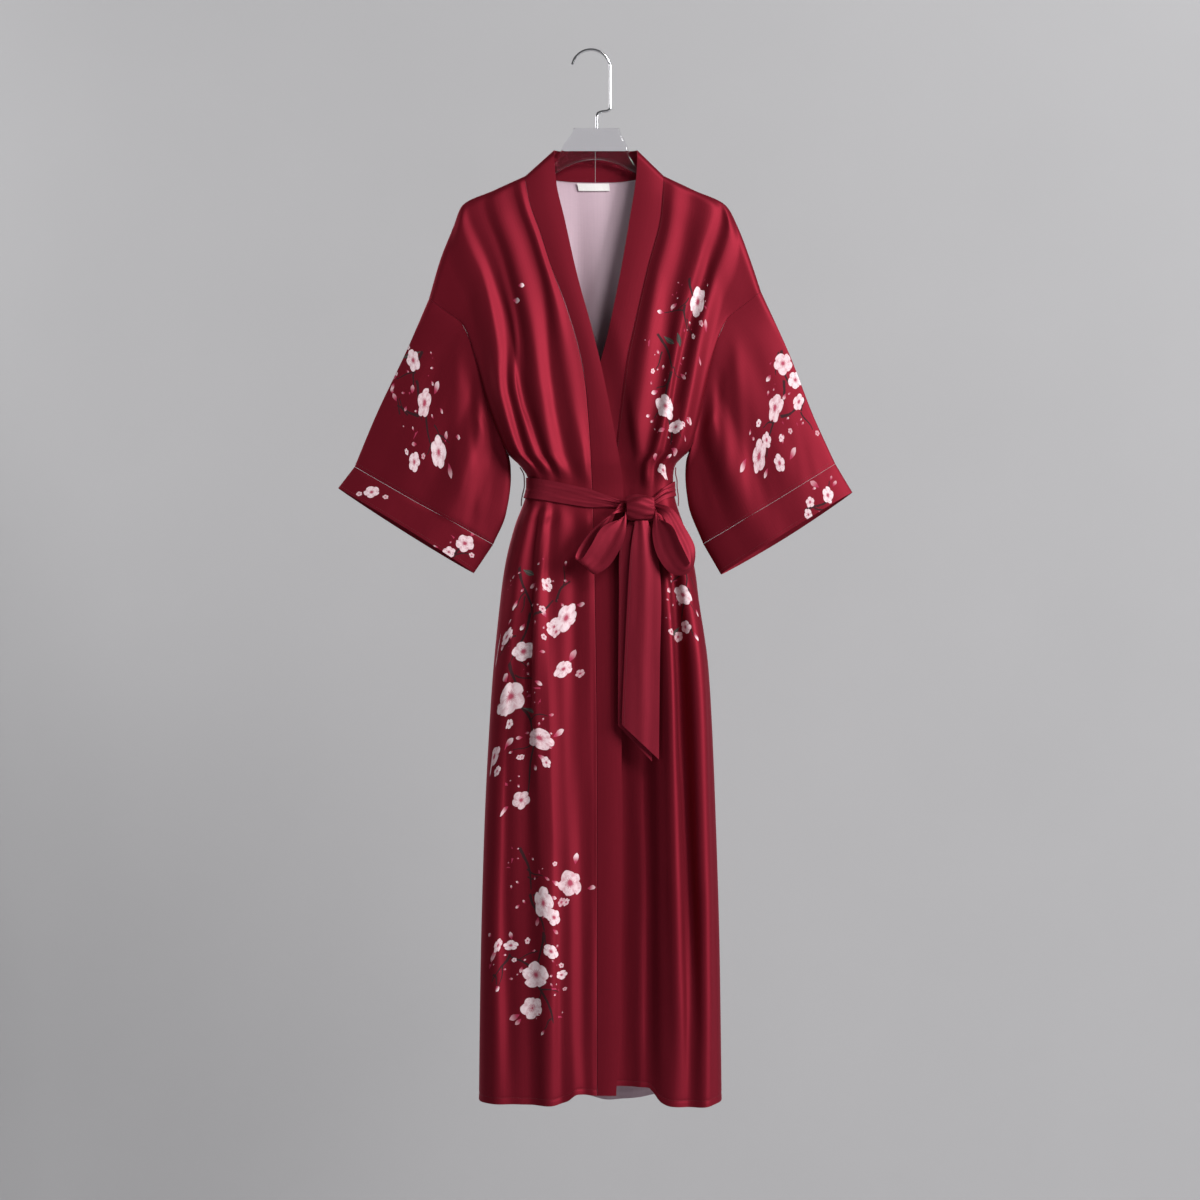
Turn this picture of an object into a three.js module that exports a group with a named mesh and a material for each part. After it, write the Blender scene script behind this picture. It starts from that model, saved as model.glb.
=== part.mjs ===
// A long satin robe with wide sleeves and a tied belt, hanging on a clear hanger.
// Sizes are in millimetres. X runs to the wearer's left, Y to the back, Z up.
// The origin is the inside top of the hanger's hook.

import * as THREE from 'three';

const clothWall = 1.8;
const stripWall = 2.4; // neckband and cuffs are doubled
const ribbonWall = 1.6;
const seamGap = 0.3;
const halfGap = seamGap / 2;
const rollRadius = 9; // cloth turning over the shoulder
const sideRadius = 26; // cloth turning round the side seam
const crownRadius = 120; // the front's slow curve towards the middle
const lapDepth = 7; // how far the under front lies behind the upper one
const lapDepthAtBelt = 3.6;
const lapFade = 35;
const beltCentre = 13.5;
const beltHalfWidth = 101.5;
const beltClear = 1.7;
const beltPress = 0.14; // what the belt leaves of a fold's height
const pressReach = 16;
const pressFade = 20;
const pinRadius = 0.8; // thread of the belt carriers
const wireRadius = 2;
const hangerHalf = 4.5;
const hangerDrop = 3.6; // hanger's arm below the shoulder line
const tipDrop = 1.6; // and lower still towards its tip
const centreBack = 6;

const colour = { satin: 0x8c2030, belt: 0x93243a, label: 0xe9e6e2, clear: 0xd8d4da, wire: 0xc8c8cc };

const clamp = (value, low, high) => Math.min(high, Math.max(low, value));
const lerp = (a, b, t) => a + (b - a) * t;
const mix = (a, b, t) => a.map((value, i) => lerp(value, b[i], t));
const add = (a, b, scale = 1) => a.map((value, i) => value + b[i] * scale);
const minus = (a, b) => a.map((value, i) => value - b[i]);
const ease = (t) => {
  const s = clamp(t, 0, 1);
  return s * s * (3 - 2 * s);
};
const quarterRound = (t) => Math.sqrt(1 - (1 - clamp(t, 0, 1)) ** 2);

function unit(a) {
  const length = Math.hypot(...a) || 1;
  return a.map((value) => value / length);
}

function cross(a, b) {
  return [a[1] * b[2] - a[2] * b[1], a[2] * b[0] - a[0] * b[2], a[0] * b[1] - a[1] * b[0]];
}

function table(columns, rows) {
  const names = columns.split(' ');
  return rows.map((row) => Object.fromEntries(names.map((name, i) => [name, row[i]])));
}

// A curve through values at places, which never overshoots them.
function curve(places, values) {
  const last = places.length - 1;
  const slopes = places.slice(1).map((place, i) => (values[i + 1] - values[i]) / (place - places[i]));
  const tangents = values.map((value, i) => {
    if (i === 0) return slopes[0];
    if (i === last) return slopes[last - 1];
    const [before, after] = [slopes[i - 1], slopes[i]];
    return before * after <= 0 ? 0 : (2 * before * after) / (before + after);
  });
  return (at) => {
    const place = clamp(at, places[0], places[last]);
    let i = 0;
    while (i < last - 1 && place > places[i + 1]) i += 1;
    const span = places[i + 1] - places[i];
    const t = (place - places[i]) / span;
    const bend = tangents[i] * (1 - t) - tangents[i + 1] * t;
    const chord = (values[i + 1] - values[i]) * (2 * t - 1);
    return lerp(values[i], values[i + 1], t) + t * (1 - t) * (bend * span + chord);
  };
}

function along(rows, from, to) {
  const sorted = [...rows].sort((a, b) => a[from] - b[from]);
  return curve(sorted.map((row) => row[from]), sorted.map((row) => row[to]));
}

// Rows of the cloth grid from shoulder to hem: share down the armhole, heights at the
// band seam and the band's free edge, and depth of front and back.
const rows = table('arm seamZ freeZ front back', [
  [0, -175, -139, 9, 9],
  [0.0095, -178, -143, 9, 9],
  [0.028, -185, -151, 9.5, 9.5],
  [0.1, -205, -190, 12, 10.5],
  [0.2, -247, -240, 15, 12],
  [0.32, -295, -293, 19, 14],
  [0.44, -348, -348, 23, 17],
  [0.56, -404, -404, 27, 20],
  [0.68, -455, -455, 30, 23],
  [0.8, -500, -500, 32, 26],
  [0.9, -535, -535, 33, 28],
  [0.965, -553, -553, 33, 29],
  [1, -566, -566, 33, 29],
  [1, -577, -577, 33, 29],
  [1, -588, -588, 32, 28],
  [1, -599, -599, 31, 27],
  [1, -611, -611, 30, 27],
  [1, -624, -624, 30, 27],
  [1, -637, -637, 30.5, 27.5],
  [1, -655, -655, 32, 29],
  [1, -685, -685, 34, 31],
  [1, -725, -725, 36, 33],
  [1, -775, -775, 38, 35],
  [1, -840, -840, 39, 36],
  [1, -910, -910, 40, 37],
  [1, -1000, -1000, 41, 38],
  [1, -1100, -1100, 42, 39],
  [1, -1200, -1200, 43, 40],
  [1, -1300, -1300, 44, 41],
  [1, -1390, -1390, 45, 42],
  [1, -1467, -1467, 45, 42],
]);
const underarmRow = 12;
const hemRow = rows.length - 1;
const flatRow = 8; // where rows no longer follow the shoulder line
const rowPlaces = rows.map((row, i) => i);
const rowCurve = (name) => curve(rowPlaces, rows.map((row) => row[name]));
const seamZ = rowCurve('seamZ');
const freeZ = rowCurve('freeZ');
const frontDepth = rowCurve('front');
const backDepth = rowCurve('back');
const armShare = rowCurve('arm');
const shoulderFade = (row) => ease(1 - row / flatRow);

function shoulderRoll(row) {
  const drop = row < 1 ? 3.2 * row : 3.2 + 6.4 * (row - 1);
  return quarterRound(drop / rollRadius);
}

// Each side of the robe: armhole and side seam, shoulder line, band seam, free edge.
const rightSide = {
  shoulder: table('share x z', [
    [0, -227, -347], [0.24, -211, -292], [0.45, -193, -247], [0.59, -180, -216], [0.8, -136, -195],
    [1, -92, -175],
  ]),
  edge: table('z x', [
    [-347, -227], [-365, -203], [-384, -179], [-432, -161], [-488, -146], [-534, -130], [-566, -115],
    [-577, -103], [-589, -93], [-600, -88], [-611, -88], [-626, -92], [-666, -107], [-718, -120],
    [-768, -127], [-908, -140], [-1105, -150], [-1301, -155], [-1467, -157],
  ]),
  seam: table('z x', [
    [-175, -92], [-185, -91], [-215, -85], [-254, -71], [-298, -57], [-367, -32], [-436, -13], [-481, -6],
    [-608, 2], [-768, 6], [-1048, 9], [-1467, 9],
  ]),
  free: table('z x', [
    [-139, -52], [-166, -50], [-181, -49], [-240, -36], [-312, -20], [-404, 5], [-450, 16], [-520, 30],
    [-590, 42], [-624, 45], [-908, 43], [-1328, 41], [-1467, 35],
  ]),
  underarmZ: -566,
};
const leftSide = {
  shoulder: table('share x z', [
    [0, 238, -337], [0.21, 223, -292], [0.42, 206, -247], [0.58, 188, -215], [0.8, 144, -194], [1, 102, -174],
  ]),
  edge: table('z x', [
    [-337, 238], [-356, 214], [-376, 190], [-421, 172], [-481, 158], [-530, 147], [-561, 137],
    [-572, 124], [-582, 117], [-596, 115], [-611, 115], [-628, 118], [-671, 132], [-729, 146], [-768, 151],
    [-859, 164], [-936, 169], [-1055, 174], [-1252, 180], [-1467, 183],
  ]),
  seam: table('z x', [
    [-175, 102], [-185, 101], [-232, 97], [-307, 78], [-404, 56], [-432, 50], [-534, 37], [-614, 28],
    [-768, 20], [-1188, 13], [-1467, 10],
  ]),
  free: table('z x', [
    [-139, 65], [-166, 64], [-179, 63], [-236, 54], [-307, 42], [-404, 22], [-439, 13], [-534, 1],
    [-614, -8], [-768, -13], [-1188, -20], [-1467, -22],
  ]),
  underarmZ: -561,
};

for (const side of [rightSide, leftSide]) {
  const dropZ = side.shoulder[0].z;
  const heights = rows.map((row, i) => (i <= underarmRow ? lerp(dropZ, side.underarmZ, row.arm) : row.seamZ));
  side.edgeZ = curve(rowPlaces, heights);
  side.edgeX = along(side.edge, 'z', 'x');
  side.seamX = along(side.seam, 'z', 'x');
  side.freeX = along(side.free, 'z', 'x');
  side.shoulderX = along(side.shoulder, 'share', 'x');
  side.shoulderZ = along(side.shoulder, 'share', 'z');
}

// The belt's run: height of its middle and half its width, from side to side in front.
const beltFront = table('x z half', [
  [-92, -611, 14], [-60, -616, 14], [-7, -626, 13], [20, -631, 9], [43, -635, 5.5], [81, -632, 5.5],
  [100, -620, 7.5], [119, -611, 11],
]);
const beltZ = along(beltFront, 'x', 'z');
const beltHalf = along(beltFront, 'x', 'half');
const beltBackZ = -611;
const beltBackHalf = 13;

function pressed(x, z, middle) {
  return lerp(beltPress, 1, ease((Math.abs(z - middle) - pressReach) / pressFade));
}

// Folds, one row each from the side towards the middle: place across the panel and
// height outwards at nine levels. Crests and valleys take turns.
const levels = [0, 5, 8, 12, 16.5, 20, 24, 27, 30];
const levelNames = 'shoulder chest ribs underarm waist hip thigh shin hem';
const rightFolds = {
  place: table(levelNames, [
    [0.48, 0.05, 0.05, 0.05, 0.05, 0.05, 0.05, 0.05, 0.05],
    [0.6, 0.31, 0.14, 0.13, 0.14, 0.16, 0.17, 0.18, 0.2],
    [0.69, 0.45, 0.23, 0.22, 0.24, 0.28, 0.35, 0.4, 0.44],
    [0.74, 0.54, 0.31, 0.32, 0.33, 0.37, 0.44, 0.54, 0.58],
    [0.77, 0.6, 0.38, 0.42, 0.43, 0.48, 0.56, 0.66, 0.7],
    [0.82, 0.7, 0.54, 0.52, 0.54, 0.6, 0.68, 0.76, 0.8],
    [0.92, 0.88, 0.68, 0.7, 0.72, 0.78, 0.82, 0.87, 0.9],
    [0.96, 0.95, 0.84, 0.9, 0.9, 0.92, 0.94, 0.95, 0.96],
  ]),
  rise: table(levelNames, [
    [0, 0, 0, 0, 0, 0, 0, 0, 0],
    [0, 8, 8, 7, 5, 4, 4, 4, 4],
    [0, 0, 0, 0, 0, 0, 0, 0, 0],
    [0, 1, 5, 6, 6, 7, 9, 8, 7],
    [0, 0.5, 1, 1, 1, 1, 3, 3, 2],
    [0, 7, 9, 8, 6, 4, 4, 5, 5],
    [0, 0, 1, 0, 0, 0, 0, 0, 0],
    [0, 4, 5, 5, 3, 2, 1, 1, 1],
  ]),
};
const leftFolds = {
  place: table(levelNames, [
    [0.5, 0.06, 0.05, 0.05, 0.05, 0.04, 0.04, 0.04, 0.04],
    [0.62, 0.25, 0.18, 0.19, 0.16, 0.13, 0.12, 0.13, 0.15],
    [0.68, 0.4, 0.36, 0.34, 0.3, 0.26, 0.26, 0.27, 0.28],
    [0.75, 0.52, 0.43, 0.45, 0.42, 0.36, 0.38, 0.38, 0.4],
    [0.85, 0.7, 0.54, 0.57, 0.56, 0.56, 0.6, 0.6, 0.56],
    [0.93, 0.88, 0.78, 0.78, 0.78, 0.8, 0.82, 0.82, 0.8],
  ]),
  rise: table(levelNames, [
    [0, 0, 0, 0, 0, 0, 0, 0, 0],
    [0, 8, 8, 7, 5, 4, 5, 5, 5],
    [0, 0, 0, 0, 0, 0, 0, 0, 0],
    [0, 7, 7, 8, 6, 7, 10, 9, 8],
    [0, 0, 0, 0, 0, 0, 0, 0, 0],
    [0, 6, 8, 6, 3, 2, 1, 1, 1],
  ]),
};
const backFolds = {
  place: table(levelNames, [
    [0.055, 0.05, 0.05, 0.05, 0.05, 0.05, 0.05, 0.05, 0.05],
    [0.12, 0.11, 0.12, 0.13, 0.14, 0.13, 0.12, 0.13, 0.13],
    [0.171, 0.19, 0.2, 0.21, 0.23, 0.21, 0.2, 0.22, 0.22],
    [0.29, 0.28, 0.29, 0.31, 0.32, 0.3, 0.29, 0.31, 0.32],
    [0.36, 0.36, 0.36, 0.38, 0.39, 0.38, 0.36, 0.38, 0.39],
    [0.43, 0.44, 0.43, 0.44, 0.45, 0.44, 0.44, 0.45, 0.46],
    [0.5, 0.51, 0.5, 0.5, 0.5, 0.51, 0.52, 0.52, 0.52],
    [0.57, 0.58, 0.57, 0.56, 0.56, 0.57, 0.59, 0.58, 0.58],
    [0.64, 0.65, 0.64, 0.62, 0.62, 0.63, 0.65, 0.66, 0.65],
    [0.71, 0.72, 0.71, 0.69, 0.69, 0.7, 0.72, 0.73, 0.72],
    [0.832, 0.81, 0.79, 0.78, 0.77, 0.78, 0.8, 0.8, 0.8],
    [0.88, 0.88, 0.87, 0.87, 0.86, 0.87, 0.88, 0.88, 0.88],
    [0.945, 0.95, 0.95, 0.95, 0.95, 0.95, 0.95, 0.95, 0.95],
  ]),
  rise: table(levelNames, [
    [0, 0, 0, 0, 0, 0, 0, 0, 0],
    [0, 4, 5, 5, 4, 4, 5, 5, 5],
    [0, 0, 0, 0, 0, 0, 0, 0, 0],
    [0, 5, 7, 7, 5, 6, 8, 7, 6],
    [0, 0, 0, 0, 0, 1, 0, 0, 0],
    [0, 3, 4, 6, 5, 5, 6, 7, 7],
    [0, 0, 0, 0, 0, 0, 0, 1, 1],
    [0, 4, 6, 7, 5, 7, 9, 8, 8],
    [0, 0, 0, 0, 0, 0, 0, 0, 0],
    [0, 5, 6, 5, 4, 4, 5, 6, 5],
    [0, 0, 0, 0, 0, 0, 0, 0, 0],
    [0, 4, 5, 5, 4, 5, 7, 6, 6],
    [0, 0, 0, 0, 0, 0, 0, 0, 0],
  ]),
};

for (const folds of [rightFolds, leftFolds, backFolds]) {
  folds.placeAt = folds.place.map((fold) => curve(levels, Object.values(fold)));
  folds.riseAt = folds.rise.map((fold) => curve(levels, Object.values(fold)));
}

// Column c counts folds: 0 is the side, whole numbers are crests and valleys.
function acrossAt(folds, c, row) {
  const last = folds.placeAt.length + 1;
  const line = clamp(Math.floor(c), 0, last - 1);
  const place = (i) => (i === 0 ? 0 : i === last ? 1 : folds.placeAt[i - 1](row));
  return lerp(place(line), place(line + 1), c - line);
}

function riseAt(folds, c, row) {
  const last = folds.riseAt.length + 1;
  const line = clamp(Math.floor(c), 0, last - 1);
  const rise = (i) => (i === 0 || i === last ? 0 : folds.riseAt[i - 1](row));
  return lerp(rise(line), rise(line + 1), ease(c - line));
}

// Depth at the armhole: the shoulder's roll above, closing to nothing at the underarm.
function armholeDepth(row, deep) {
  if (row >= underarmRow) return 0;
  const closing = quarterRound((1 - armShare(row)) / 0.1);
  return lerp(rollRadius, deep, ease(armShare(row) / 0.4)) * closing * shoulderRoll(row);
}

function turned(edgeDepth, fullDepth, distance) {
  const turn = 0.8 * quarterRound(distance / sideRadius) + 0.2 * quarterRound(distance / crownRadius);
  return lerp(edgeDepth, fullDepth, turn);
}

const edgePoint = (side, row) => [side.edgeX(side.edgeZ(row)), side.edgeZ(row)];
const seamPoint = (side, row) => [side.seamX(seamZ(row)), seamZ(row)];
const shoulderPoint = (side, share) => [side.shoulderX(share), side.shoulderZ(share)];
const hemWeight = (row) => clamp((row - hemRow + 3) / 3, 0, 1) ** 2;

// How far the under front lies back behind the upper one.
function lapBack(x, z) {
  const depth = lerp(lapDepth, lapDepthAtBelt, ease(1 - (Math.abs(z - beltZ(40)) - 15) / 40));
  return depth * ease((rightSide.freeX(z) + lapFade - x) / lapFade);
}

const rightHem = along(table('across lift', [[0, 0], [0.3, 0], [0.6, -1], [0.74, 4], [0.84, 14], [1, 12]]),
  'across', 'lift');
const leftHem = along(table('across lift', [[0, 0], [0.2, -4], [0.42, -2], [0.5, 3], [0.6, 22], [1, 24]]),
  'across', 'lift');
const backHem = along(table('across lift', [[0, 0], [0.4, -1], [0.55, -9], [0.66, -5], [0.8, 2], [1, 0]]),
  'across', 'lift');

const rightFront = { side: rightSide, folds: rightFolds, hem: rightHem, under: false };
const leftFront = { side: leftSide, folds: leftFolds, hem: leftHem, under: true };

function frontPoint(front, c, row) {
  const { side, folds } = front;
  const last = folds.placeAt.length + 1;
  const onPanel = Math.min(c, last);
  const across = acrossAt(folds, onPanel, row);
  const edge = edgePoint(side, row);
  const seam = seamPoint(side, row);
  const straight = mix(shoulderPoint(side, 0), shoulderPoint(side, 1), across);
  const bulge = minus(shoulderPoint(side, across), straight);
  let [x, z] = add(mix(edge, seam, across), bulge, shoulderFade(row));
  const fullDepth = frontDepth(row) * shoulderRoll(row);
  let depth = turned(armholeDepth(row, 13), fullDepth, across * Math.abs(seam[0] - edge[0]));
  let rise = riseAt(folds, onPanel, row) * pressed(x, z, beltZ(x));
  if (c > last) {
    const share = c - last;
    [x, z] = mix(seam, [side.freeX(freeZ(row)), freeZ(row)], share);
    depth += Math.sin(Math.PI * share) * shoulderRoll(row);
    rise = 0;
  }
  z += front.hem(across) * hemWeight(row);
  if (front.under) {
    const back = lapBack(x, z) * ease((row - 4) / 3);
    depth -= back;
    rise *= 1 - ease(back / 3);
  }
  return [x, -Math.max(halfGap, depth + rise), z];
}

// The back's neck lies between these columns, with the centre back halfway.
const neckColumns = [4, 10];
const neckShares = [0.29, 0.71];
const neckDepth = 11;
const neckDip = 8;

function backPoint(c, row) {
  const across = acrossAt(backFolds, c, row);
  const fade = shoulderFade(row);
  const edges = [edgePoint(rightSide, row), edgePoint(leftSide, row)];
  const shares = [acrossAt(backFolds, neckColumns[0], row), acrossAt(backFolds, neckColumns[1], row)];
  const necks = [rightSide, leftSide].map((side, i) => {
    const plain = lerp(edges[0][0], edges[1][0], shares[i]);
    return [lerp(plain, side.shoulderX(1), fade), seamZ(row)];
  });
  let point;
  if (across <= shares[0] || across >= shares[1]) {
    const i = across <= shares[0] ? 0 : 1;
    const side = i ? leftSide : rightSide;
    const share = i ? (1 - across) / (1 - shares[1]) : across / shares[0];
    const straight = mix(shoulderPoint(side, 0), shoulderPoint(side, 1), share);
    const bulge = minus(shoulderPoint(side, share), straight);
    point = add(mix(edges[i], necks[i], share), bulge, fade);
  } else {
    const share = (across - shares[0]) / (shares[1] - shares[0]);
    point = mix(necks[0], necks[1], share);
    point[1] -= neckDip * Math.sin(Math.PI * share) * fade;
  }
  const [x, z] = [point[0], point[1] + backHem(across) * hemWeight(row)];
  const inNeck = ease((across - shares[0]) / 0.04) * ease((shares[1] - across) / 0.04) * ease((6 - row) / 2);
  const full = Math.max(backDepth(row), neckDepth * inNeck);
  const roll = lerp(shoulderRoll(row), 1, inNeck);
  const distance = Math.min(x - edges[0][0], edges[1][0] - x);
  const depth = turned(armholeDepth(row, 11), full * roll, distance);
  const rise = riseAt(backFolds, c, row) * pressed(x, z, beltBackZ);
  return [x, Math.max(halfGap, depth + rise), z];
}

// Sleeves: from the armhole to the cuff's open end, front and back.
const rightSleeve = {
  side: rightSide,
  outer: table('share x z', [[0, -227, -347], [0.3, -258, -419], [0.68, -301, -510], [1, -331, -582]]),
  under: table('share x z', [
    [0, -115, -566], [0.12, -112.5, -580], [0.25, -112, -597], [0.62, -119, -648], [1, -137, -691],
  ]),
  cuffSeam: table('share x z', [[0, -331, -582], [0.4, -249, -629], [0.73, -185, -664], [1, -137, -691]]),
  cuffEnd: table('share x z', [[0, -354, -612], [0.5, -260, -671], [1, -164, -731]]),
};
const leftSleeve = {
  side: leftSide,
  outer: table('share x z', [[0, 238, -337], [0.37, 278, -425], [0.71, 311, -510], [1, 342, -578]]),
  under: table('share x z', [
    [0, 137, -561], [0.12, 133, -575], [0.25, 132, -593], [0.6, 136, -634], [1, 157, -690],
  ]),
  cuffSeam: table('share x z', [[0, 342, -578], [0.33, 279, -617], [0.66, 216, -655], [1, 157, -690]]),
  cuffEnd: table('share x z', [[0, 366, -618], [0.5, 274, -677], [1, 182, -733]]),
};
const sleeveLevels = [0.1, 0.5, 1];
const sleeveFolds = {
  place: table('top middle cuff', [
    [0.28, 0.26, 0.27], [0.46, 0.44, 0.46], [0.62, 0.63, 0.64], [0.82, 0.8, 0.81],
  ]),
  rise: table('top middle cuff', [[0, 2.5, 2], [0, 0, 0], [5, 9, 4], [-1, -3, 0]]),
};
sleeveFolds.placeAt = sleeveFolds.place.map((fold) => curve(sleeveLevels, Object.values(fold)));
sleeveFolds.riseAt = sleeveFolds.rise.map((fold) => curve(sleeveLevels, Object.values(fold)));
const sleeveDepth = curve([0, 0.3, 1, 1.25], [13, 15, 18, 19]);

for (const sleeve of [rightSleeve, leftSleeve]) {
  for (const name of ['outer', 'under', 'cuffSeam', 'cuffEnd']) {
    const line = [along(sleeve[name], 'share', 'x'), along(sleeve[name], 'share', 'z')];
    sleeve[`${name}At`] = (share) => line.map((part) => part(share));
  }
}

function sleeveFold(w, t) {
  const places = [0, ...sleeveFolds.placeAt.map((place) => place(t)), 1];
  const rises = [0, ...sleeveFolds.riseAt.map((rise) => rise(t)), 0];
  let i = 0;
  while (i < places.length - 2 && w > places[i + 1]) i += 1;
  return lerp(rises[i], rises[i + 1], ease((w - places[i]) / (places[i + 1] - places[i])));
}

// w runs from the sleeve's top fold to its under seam, t from armhole (0) by cuff seam (1)
// to the open end (2). half is -1 in front and 1 behind.
function sleevePoint(sleeve, armRow, t, half) {
  const w = armShare(armRow);
  const along1 = Math.min(t, 1);
  const corner = [sleeve.outerAt(0), sleeve.underAt(0), sleeve.outerAt(1), sleeve.underAt(1)];
  const rails = mix(sleeve.outerAt(along1), sleeve.underAt(along1), w);
  const rungs = mix(edgePoint(sleeve.side, armRow), sleeve.cuffSeamAt(w), along1);
  const flat = mix(mix(corner[0], corner[1], w), mix(corner[2], corner[3], w), along1);
  let [x, z] = add(add(rails, rungs), flat, -1);
  if (t > 1) {
    [x, z] = mix(sleeve.cuffSeamAt(w), sleeve.cuffEndAt(w), t - 1);
  }
  const free = ease(along1 / 0.25);
  const round = Math.sin(Math.PI * w) ** 0.6;
  const height = sleeveFold(w, along1) * (half < 0 ? 1 : 0.6);
  const open = sleeveDepth(along1 + (t > 1 ? 0.25 * (t - 1) : 0)) * round + height * free * (t > 1 ? 0.6 : 1);
  const depth = lerp(armholeDepth(armRow, half < 0 ? 13 : 11), open, free);
  return [x, half * Math.max(0, depth), z];
}

// Walls: a grid of outer points, moved in along its normals, closed at its edges.
function gridNormals(grid, outward, wraps = false) {
  const height = grid.length;
  const width = grid[0].length;
  const sums = grid.map((line) => line.map(() => [0, 0, 0]));
  const lastColumn = wraps ? width : width - 1;
  for (let i = 0; i < height - 1; i += 1) {
    for (let j = 0; j < lastColumn; j += 1) {
      const k = (j + 1) % width;
      const facing = unit(cross(minus(grid[i + 1][k], grid[i][j]), minus(grid[i][k], grid[i + 1][j])));
      for (const [a, b] of [[i, j], [i, k], [i + 1, j], [i + 1, k]]) {
        sums[a][b] = add(sums[a][b], facing);
      }
    }
  }
  const middle = sums[Math.floor(height / 2)][Math.floor(width / 4)];
  const sign = middle[0] * outward[0] + middle[1] * outward[1] + middle[2] * outward[2] < 0 ? -1 : 1;
  return sums.map((line) => line.map((sum) => unit(sum.map((value) => value * sign))));
}

function wall(outer, inner, wraps = false) {
  const height = outer.length;
  const width = outer[0].length;
  const points = [...outer.flat(), ...inner.flat()];
  const shift = height * width;
  const at = (i, j, layer) => layer * shift + i * width + (j % width);
  const faces = [];
  const quad = (a, b, c, d) => faces.push([a, b, c], [a, c, d]);
  const lastColumn = wraps ? width : width - 1;
  for (let j = 0; j < lastColumn; j += 1) {
    for (let i = 0; i < height - 1; i += 1) {
      quad(at(i, j, 0), at(i + 1, j, 0), at(i + 1, j + 1, 0), at(i, j + 1, 0));
      quad(at(i, j + 1, 1), at(i + 1, j + 1, 1), at(i + 1, j, 1), at(i, j, 1));
    }
    quad(at(0, j, 0), at(0, j + 1, 0), at(0, j + 1, 1), at(0, j, 1));
    quad(at(height - 1, j, 1), at(height - 1, j + 1, 1), at(height - 1, j + 1, 0), at(height - 1, j, 0));
  }
  for (let i = 0; !wraps && i < height - 1; i += 1) {
    quad(at(i, 0, 0), at(i, 0, 1), at(i + 1, 0, 1), at(i + 1, 0, 0));
    quad(at(i, width - 1, 1), at(i, width - 1, 0), at(i + 1, width - 1, 0), at(i + 1, width - 1, 1));
  }
  let volume = 0;
  for (const [a, b, c] of faces) {
    const normal = cross(points[b], points[c]);
    volume += points[a][0] * normal[0] + points[a][1] * normal[1] + points[a][2] * normal[2];
  }
  const index = faces.flatMap(([a, b, c]) => (volume < 0 ? [a, c, b] : [a, b, c]));
  const geometry = new THREE.BufferGeometry();
  geometry.setAttribute('position', new THREE.Float32BufferAttribute(points.flat(), 3));
  geometry.setIndex(index);
  geometry.computeVertexNormals();
  return geometry;
}

const moved = (grid, normals, distance) =>
  grid.map((line, i) => line.map((point, j) => add(point, normals[i][j], distance)));

const garment = new THREE.Group();

function sew(name, geometry, tone, finish = {}) {
  const material = new THREE.MeshStandardMaterial({ color: colour[tone], roughness: 0.38, ...finish });
  const mesh = new THREE.Mesh(geometry, material);
  mesh.name = name;
  garment.add(mesh);
}

const range = (first, last, step) =>
  Array.from({ length: Math.round((last - first) / step) + 1 }, (value, i) => first + i * step);
const allRows = rowPlaces;

// Fronts, each with its strip of neckband beside it.
function frontGrid(front) {
  const last = front.folds.placeAt.length + 1;
  const columns = [0, 0.25, 0.5, ...range(1, last, 0.5), last + 0.5, last + 1];
  const grid = allRows.map((row) => columns.map((c) => frontPoint(front, c, row)));
  const normals = gridNormals(grid, [0, -1, 0]);
  normals.forEach((line, i) => {
    const flatten = (normal) => unit([normal[0], 0, normal[2]]);
    if (i === 0) normals[i] = line.map(flatten);
    if (i >= underarmRow) normals[i][0] = flatten(line[0]);
  });
  return { grid, normals, seamColumn: columns.length - 3 };
}

function shiftSeam(grid, column, towards, distance) {
  return grid.map((line) => {
    const direction = unit(minus(line[towards], line[column]));
    return add(line[column], direction, distance);
  });
}

const fronts = {};
for (const [name, front] of [['right', rightFront], ['left', leftFront]]) {
  const { grid, normals, seamColumn } = frontGrid(front);
  const panel = grid.map((line) => line.slice(0, seamColumn + 1));
  shiftSeam(grid, seamColumn, seamColumn - 1, halfGap).forEach((point, i) => {
    panel[i][seamColumn] = point;
  });
  const panelNormals = normals.map((line) => line.slice(0, seamColumn + 1));
  const inner = moved(panel, panelNormals, -clothWall);
  sew(`front_${name}`, wall(panel, inner), 'satin');
  fronts[name] = { panel, inner, grid, normals, seamColumn };
}

// Back panel in one piece.
const backColumns = [0, 0.3, 0.6, ...range(1, 13, 0.5), 13.4, 13.7, 14];
const backGrid = allRows.map((row) => backColumns.map((c) => backPoint(c, row)));
const backNormals = gridNormals(backGrid, [0, 1, 0]);
backNormals.forEach((line, i) => {
  const flatten = (normal) => unit([normal[0], 0, normal[2]]);
  if (i === 0) {
    backColumns.forEach((c, j) => {
      if (c <= neckColumns[0] || c >= neckColumns[1]) line[j] = flatten(line[j]);
    });
  }
  if (i >= underarmRow) {
    line[0] = flatten(line[0]);
    line[line.length - 1] = flatten(line[line.length - 1]);
  }
});
const backInner = moved(backGrid, backNormals, -clothWall);
sew('back_panel', wall(backGrid, backInner), 'satin');

// Neckband strips: up the front, over the shoulder and round to the centre back.
const frontRowsUp = [...allRows].reverse();
const freeBackRoll = curve([0, 0.15, 0.4, 1], [0, 8, 11.5, 12]);
const neckTop = -139;

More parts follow.
